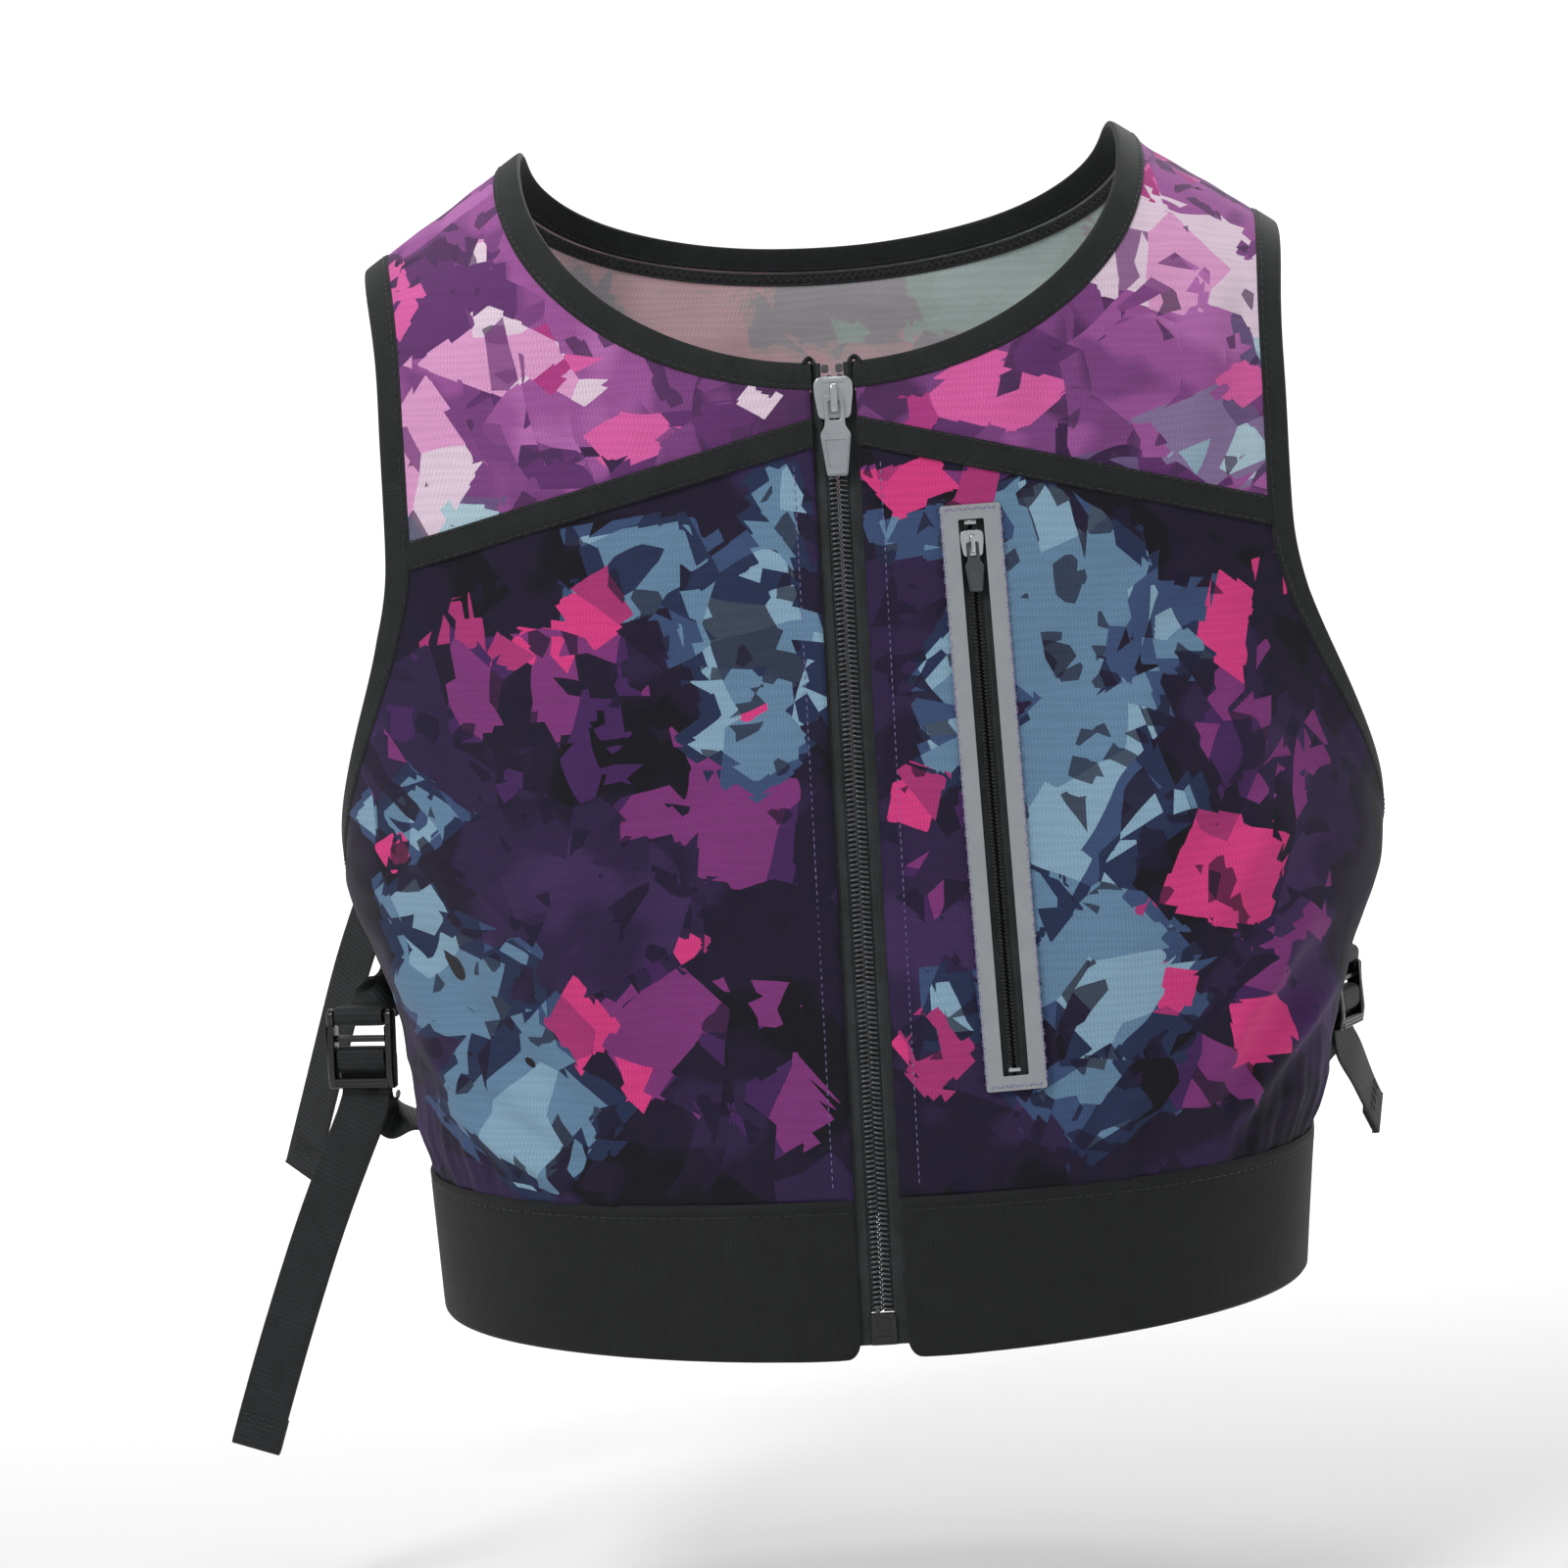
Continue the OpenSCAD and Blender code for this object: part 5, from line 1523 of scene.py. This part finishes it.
# Zigzag stitching round the frame, and the bar tacks at its ends
threads = Parts()
facing = POCKET_TURN @ np.array([0, -1.0, 0])
for sign in (1, -1):
    z = np.linspace(half_h - 0.5, -half_h + 0.5, 120)
    line = np.stack([np.full_like(z, sign * (half_w - 0.1)), np.full_like(z, -0.98), z], -1)
    line = at_pocket(line)
    stitch_run(threads, line, np.broadcast_to(facing, line.shape), 1.9, 1.6, 0.13, sway=0.5)
for z in (half_h - 1.2, -half_h + 1.2):
    x = np.linspace(-half_w + 0.6, half_w - 0.6, 30)
    line = at_pocket(np.stack([x, np.full_like(x, -0.98), np.full_like(x, z)], -1))
    stitch_run(threads, line, np.broadcast_to(facing, line.shape), 1.3, 1.1, 0.15, sway=0.35)
threads.make("pocket_stitches", violet_thread, "vest", "reflective_trim", sharp=0)

# ---- Side adjusters: ladder locks, webbing loops, load straps and tails ----

WEBBING = 15
WEB_THICK = 1.2
WEB_PROFILE = superellipse(WEBBING, WEB_THICK, 6, 30)
THREAD_Y = 0.9       # depth of the webbing that comes out under the lock
THREAD_END = -24.6   # height of the tail's hinge, from the anchor bar
BACK_Y = 2.9         # depth of the load strap behind the lock
TACKED = 30          # tails longer than this show the stitches across their folded end
# Position of the anchor bar on the wearer's right, turn, tail's tilt and reach, then the angle
# round the body and the height above the bar where the webbing is sewn on
ADJUSTERS = {
    "upper_right": ((-144, 62, -170), -42, 26, 113, 131, 10),
    "lower_right": ((-148, 5, -234.5), -15, 22, 115, 98, 17),
    "upper_left": ((-153.5, 47, -178), -50, 6, 12, 122, 10),
    "lower_left": ((-145, 18, -234), -63, 48, 43, 101, 17),
}


def lock_shape():
    """Ladder lock hung on its anchor bar, with rounded rails and ribbed grips."""
    parts = Parts()
    arc = [(2.2 * math.cos(a), 2.2 * math.sin(a)) for a in np.linspace(0.0, math.pi, 12)]
    rail = arc + rounded([(-2.3, -2), (-3.4, -17), (-2.6, -21.5), (1.0, -21.5), (1.8, -12)], 0.9)
    for sign in (1, -1):
        points, faces = plate([rail], 2.4, 0.7, axes="yzx", resolution=4)
        parts.add(points + [sign * 9.1, 0, 0], faces)
    # Anchor bar, two webbing bars and the front lip, then the grips: y, z, depth, height, power
    bars = [(0, 0, 3.0, 3.0, 2.0), (0.1, -6.8, 2.6, 2.0, 3.0), (0.0, -12.8, 2.4, 3.0, 3.0),
            (-1.45, -19.8, 2.9, 3.4, 3.0)]
    bars += [(-2.85, z, 0.7, 0.55, 3.0) for z in (-18.8, -19.8, -20.8)]
    for y, z, deep, tall, power in bars:
        line = [(-8.4, y, z), (8.4, y, z)]
        parts.add(*sweep(line, np.tile([0, 1.0, 0], (2, 1)), np.tile([0, 0, 1.0], (2, 1)),
                         superellipse(deep, tall, power, 24)))
    return parts


def threaded_path():
    """Side view of the webbing's way through the lock, as y and z."""
    return rounded_path(np.array([
        (BACK_Y, -24), (BACK_Y, -11.2), (1.6, -9.7), (-0.8, -9.6), (-2.2, -10.6), (-2.2, -15),
        (-1, -16.3), (THREAD_Y, -17.2), (THREAD_Y, -23.6)]), 0.35, 5)


def ribbon_parts(path, width_ways, profile=WEB_PROFILE):
    """Webbing along a path, with its width kept at right angles to the path."""
    path, width_ways = np.asarray(path, float), np.asarray(width_ways, float)
    t = tangents(path)
    across = unit(width_ways - np.sum(width_ways * t, -1, keepdims=True) * t)
    points, faces = sweep(path, across, np.cross(t, across), profile)
    sides = np.asarray(profile).shape[-2]
    cross = np.broadcast_to(profile, (len(path), sides, 2)).reshape(-1, 2)
    flat = np.stack([np.repeat(lengths(path), sides), cross[:, 0], cross[:, 1]], -1)
    return points, faces, flat


def bezier(p, count):
    t = np.linspace(0, 1, count)[:, None]
    p = [np.asarray(q, float) for q in p]
    return ((1 - t) ** 3 * p[0] + 3 * (1 - t) ** 2 * t * p[1] + 3 * (1 - t) * t * t * p[2]
            + t ** 3 * p[3])


class Adjuster:
    """A lock and its webbing, placed from its anchor bar: x along the bar, y inwards."""

    def __init__(self, name, bar_at, yaw, tilt, reach, sewn_angle, sewn_up):
        self.level, self.side = name.split("_")
        self.to_side = np.array([1, 1, 1]) if self.side == "right" else np.array([-1, 1, 1])
        self.yaw_turn = turn("Z", yaw)
        self.bar_at = np.array(bar_at, float)
        self.lean, self.reach = math.radians(tilt), reach
        self.sewn_angle, self.sewn_up = sewn_angle, sewn_up
        self.width_way = self.at([1, 0, 0]) - self.at([0, 0, 0])
        self.lock_body = self.named("adjuster")
        self.tail_body = self.named("tail")

    def named(self, piece):
        return f"{self.level}_{piece}_{self.side}"

    def at(self, p):
        return (np.asarray(p, float) @ self.yaw_turn.T + self.bar_at) * self.to_side

    def sewn(self, z, height):
        """Place on the trunk where the webbing is sewn on, at a height above the cloth."""
        angle = self.sewn_angle
        n = unit(np.cross(around(angle + 0.5, z) - around(angle - 0.5, z),
                          around(angle, z + 1) - around(angle, z - 1)))
        return settle((around(angle, z) + height * n) * [-1, 1, 1] * self.to_side)

    def turning_ways(self, z, count):
        """Directions of the webbing's width, from along the bar to round the trunk."""
        angle = self.sewn_angle
        way = unit(around(angle + 1, z) - around(angle - 1, z)) * [-1, 1, 1] * self.to_side
        return unit(mix(self.width_way[None], way[None],
                        smooth(0, 1, np.linspace(0, 1, count))[:, None]))

    def lock(self):
        lock_shape().turned(self.at).make(self.named("ladder_lock"), lock_acetal, self.lock_body,
                                          "lock_plastic", [self.named("lock")], sharp=50,
                                          weighted=True)
        yz = threaded_path()
        path = self.at(np.stack([0 * yz[:, 0], yz[:, 0], yz[:, 1]], -1))
        narrow = WEB_PROFILE * [(WEBBING - 0.2) / WEBBING, 1]
        Parts().add(*ribbon_parts(path, np.tile(self.width_way, (len(path), 1)), narrow)).make(
            self.named("threaded_web"), web_cloth, self.lock_body, "webbing",
            [self.named("threaded_webbing")], sharp=60)

    def tail(self):
        """One strip from inside the lock to its folded and stitched end."""
        lean, reach = self.lean, self.reach
        way = np.array([-math.sin(lean), 0, -math.cos(lean)])
        hinge = np.array([0, THREAD_Y, THREAD_END])
        bow = np.array([-math.cos(lean), 0, math.sin(lean)]) * 0.02 * reach
        path = rounded_path(np.array([hinge + [0, 0, 5.4], hinge, hinge + way * 8]), 0.6, 12)
        rest = bezier([hinge + way * 8, hinge + way * mix(8, reach, 0.35) + bow,
                       hinge + way * mix(8, reach, 0.7) + bow, hinge + way * reach],
                      max(8, int(reach / 1.4)))
        path = rounded_path(np.concatenate([path[:-1], rest]), 0.8, 3)
        share = lengths(path) / lengths(path)[-1]
        flutter = 0.9 * np.sin(share * 5.2 + 0.6) * smooth(0.12, 0.5, share) * min(1, reach / 80)
        path[:, 1] -= flutter
        across = np.cross(tangents(path), [0, 1.0, 0])
        twist = 0.16 * smooth(0.15, 1, share) * math.sin(reach)
        across = across + np.array([0, 1.0, 0]) * twist[:, None]
        world = self.at(path)
        across_world = self.at(path + across) - world
        tail = Parts().add(*ribbon_parts(world, across_world))
        # The end is folded back on itself
        run = lengths(path)
        fold = min(11, 0.35 * reach)
        back = run[-1] - run < fold
        offset = np.where(np.arange(len(path))[back] > len(path) - 3, 1.0, 1.22)
        behind = path[back] + np.array([0, 1.0, 0]) * offset[:, None]
        tail.add(*ribbon_parts(self.at(behind), across_world[back]))
        tip = self.at(path[-1] + [0, 0.6, 0])
        tip_across = across_world[-1] / np.linalg.norm(across_world[-1])
        tail.add(*ribbon_parts(
            np.stack([tip + tip_across * w for w in np.linspace(-7.4, 7.4, 9)]),
            np.tile(world[-1] - world[-2], (9, 1)), superellipse(1.4, 2.5, 2.2, 16)))
        obj = tail.make(self.named("tail_web"), web_cloth, None, "webbing",
                        [self.named("strap_tail")], sharp=60)
        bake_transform(obj)
        if reach > TACKED:
            self.tack(path[back][1], unit(across[back][1]), way)

    def tack(self, place, across, way):
        """Three zigzag rows that hold the tail's folded end."""
        threads = Parts()
        for k in range(3):
            spot = place + way * (1.6 * k)
            line = np.stack([spot + across * w + [0, -0.64, 0] for w in np.linspace(-6.3, 6.3, 24)])
            stitch_run(threads, self.at(line),
                       np.tile(self.at([0, -1, 0]) - self.at([0, 0, 0]), (24, 1)),
                       1.4, 1.2, 0.16, sway=0.5)
        threads.make(self.named("tail_tack"), black_thread, self.tail_body, "webbing", sharp=0)

    def anchor_loop(self):
        """Doubled webbing that goes round the anchor bar and is sewn to the trunk above it."""
        sewn_z = self.bar_at[2] + self.sewn_up
        middle = bezier([self.at([0, 5, 0]), self.at([0, 9, 1]), self.sewn(sewn_z - 9, 3),
                         self.sewn(sewn_z, 1.8)], 40)
        ways = self.turning_ways(sewn_z, 40)
        lift = 0.7 * unit(np.cross(ways, tangents(middle)))
        radius = 1.5 + 0.3 + WEB_THICK / 2
        angle = np.radians(np.linspace(50, 310, 26))
        wrap = self.at(np.stack([0 * angle, radius * np.cos(angle), radius * np.sin(angle)], -1))
        # The layer that starts nearer the end of the wrap comes first
        chord = wrap[-1] - wrap[0]
        upper, lower = middle[0] + lift[0], middle[0] - lift[0]
        if np.dot(upper - wrap[0], chord) >= np.dot(lower - wrap[0], chord):
            lift = -lift
        path = np.concatenate([(middle + lift)[::-1], wrap, middle - lift])
        ways = np.concatenate([ways[::-1], np.tile(self.width_way, (26, 1)), ways])
        Parts().add(*ribbon_parts(path, ways)).make(
            self.named("anchor_web"), web_cloth, "vest", "webbing", [self.named("anchor_loop")],
            sharp=60)

    def load_strap(self):
        """Slack webbing from the back of the lock down to where it is sewn to the trunk."""
        sewn_z = self.bar_at[2] - 37
        start = self.at([0, BACK_Y, -23.8])
        path = bezier([start, start + np.array([0, 0, -9.0]), self.sewn(sewn_z + 7, 5.5),
                       self.sewn(sewn_z, 1.6)], 60)
        obj = Parts().add(*ribbon_parts(path, self.turning_ways(sewn_z, 60))).make(
            self.named("load_strap"), web_cloth, None, "webbing", [self.named("strap")], sharp=60)
        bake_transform(obj)


for name, numbers in ADJUSTERS.items():
    adjuster = Adjuster(name, *numbers)
    adjuster.lock()
    adjuster.tail()
    adjuster.anchor_loop()
    adjuster.load_strap()

# ---- Sheets: the areas of each piece of cloth's cells, worked out and not kept ----


def declare_cut(grid, keep=None):
    down, along = np.diff(grid, axis=0), np.diff(grid, axis=1)
    area = np.linalg.norm(np.cross(down[:, :-1], along[:-1]), axis=-1)
    if keep is not None:
        area = area * keep


for obj, grid, keep in SHEETS:
    declare_cut(grid, keep)

# ---- Stage and light, in metres ----

FLOOR_Z = -0.42
FLOOR_RADIUS = 1.9
CORNER_RADIUS = 1.2
WALL_TOP = 6.0


def backdrop():
    """Plain pale floor that turns up into a round wall."""
    profile = [(r, 0.0) for r in (0.01, 0.5, 1.2, FLOOR_RADIUS)]
    profile += [(FLOOR_RADIUS + CORNER_RADIUS * math.sin(a), CORNER_RADIUS * (1 - math.cos(a)))
                for a in np.linspace(0.05, math.pi / 2, 24)]
    profile += [(FLOOR_RADIUS + CORNER_RADIUS, WALL_TOP)]
    sides = 96
    turns = np.linspace(0, 2 * math.pi, sides, endpoint=False)
    points = [(r * math.cos(a), r * math.sin(a), FLOOR_Z + z) for r, z in profile for a in turns]
    faces = []
    for ring in range(0, sides * (len(profile) - 1), sides):
        for j in range(sides):
            k = (j + 1) % sides
            faces.append((ring + j, ring + k, ring + sides + k, ring + sides + j))
    faces.append(tuple(range(sides - 1, -1, -1)))
    mesh = bpy.data.meshes.new("floor")
    mesh.from_pydata(points, [], faces)
    mesh.polygons.foreach_set("use_smooth", [True] * len(faces))
    obj = bpy.data.objects.new("floor", mesh)
    scene.collection.objects.link(obj)
    s = Shader("floor", 0.9, specular=0.1, emission=0.14)
    s.bsdf.inputs["Emission Color"].default_value = (1, 1, 1, 1)
    place = s.node("ShaderNodeTexCoord", {}, "Object")
    mesh.materials.append(s.finish(s.blend(s.noise(place, 3.0, 2), "c6c6c7", "cccccc")))


def area_light(name, place, target, size, power):
    data = bpy.data.lights.new(name, "AREA")
    data.shape = "DISK"
    data.size = size
    data.energy = power
    obj = bpy.data.objects.new(name, data)
    scene.collection.objects.link(obj)
    obj.location = place
    way = Vector(target) - Vector(place)
    obj.rotation_euler = way.to_track_quat("-Z", "Y").to_euler()


backdrop()
VEST_MIDDLE = (0, 0, -0.17)
WALL_BEHIND = (0, 3.0, -0.1)
area_light("key", (-1.0, -1.5, 1.5), VEST_MIDDLE, 0.7, 28)
area_light("fill", (1.6, -1.4, 0.2), VEST_MIDDLE, 1.2, 2.5)
area_light("top", (0.2, 0.3, 1.9), VEST_MIDDLE, 0.9, 14)
area_light("back", (0.6, 1.6, 0.8), VEST_MIDDLE, 1.0, 8)
area_light("wall", (0, 0.9, 1.3), WALL_BEHIND, 1.2, 55)
world = bpy.data.worlds.new("studio")
world.use_nodes = True
world.node_tree.nodes["Background"].inputs["Color"].default_value = (1, 1, 1, 1)
world.node_tree.nodes["Background"].inputs["Strength"].default_value = 0.25
scene.world = world
scene.view_settings.view_transform = "Standard"
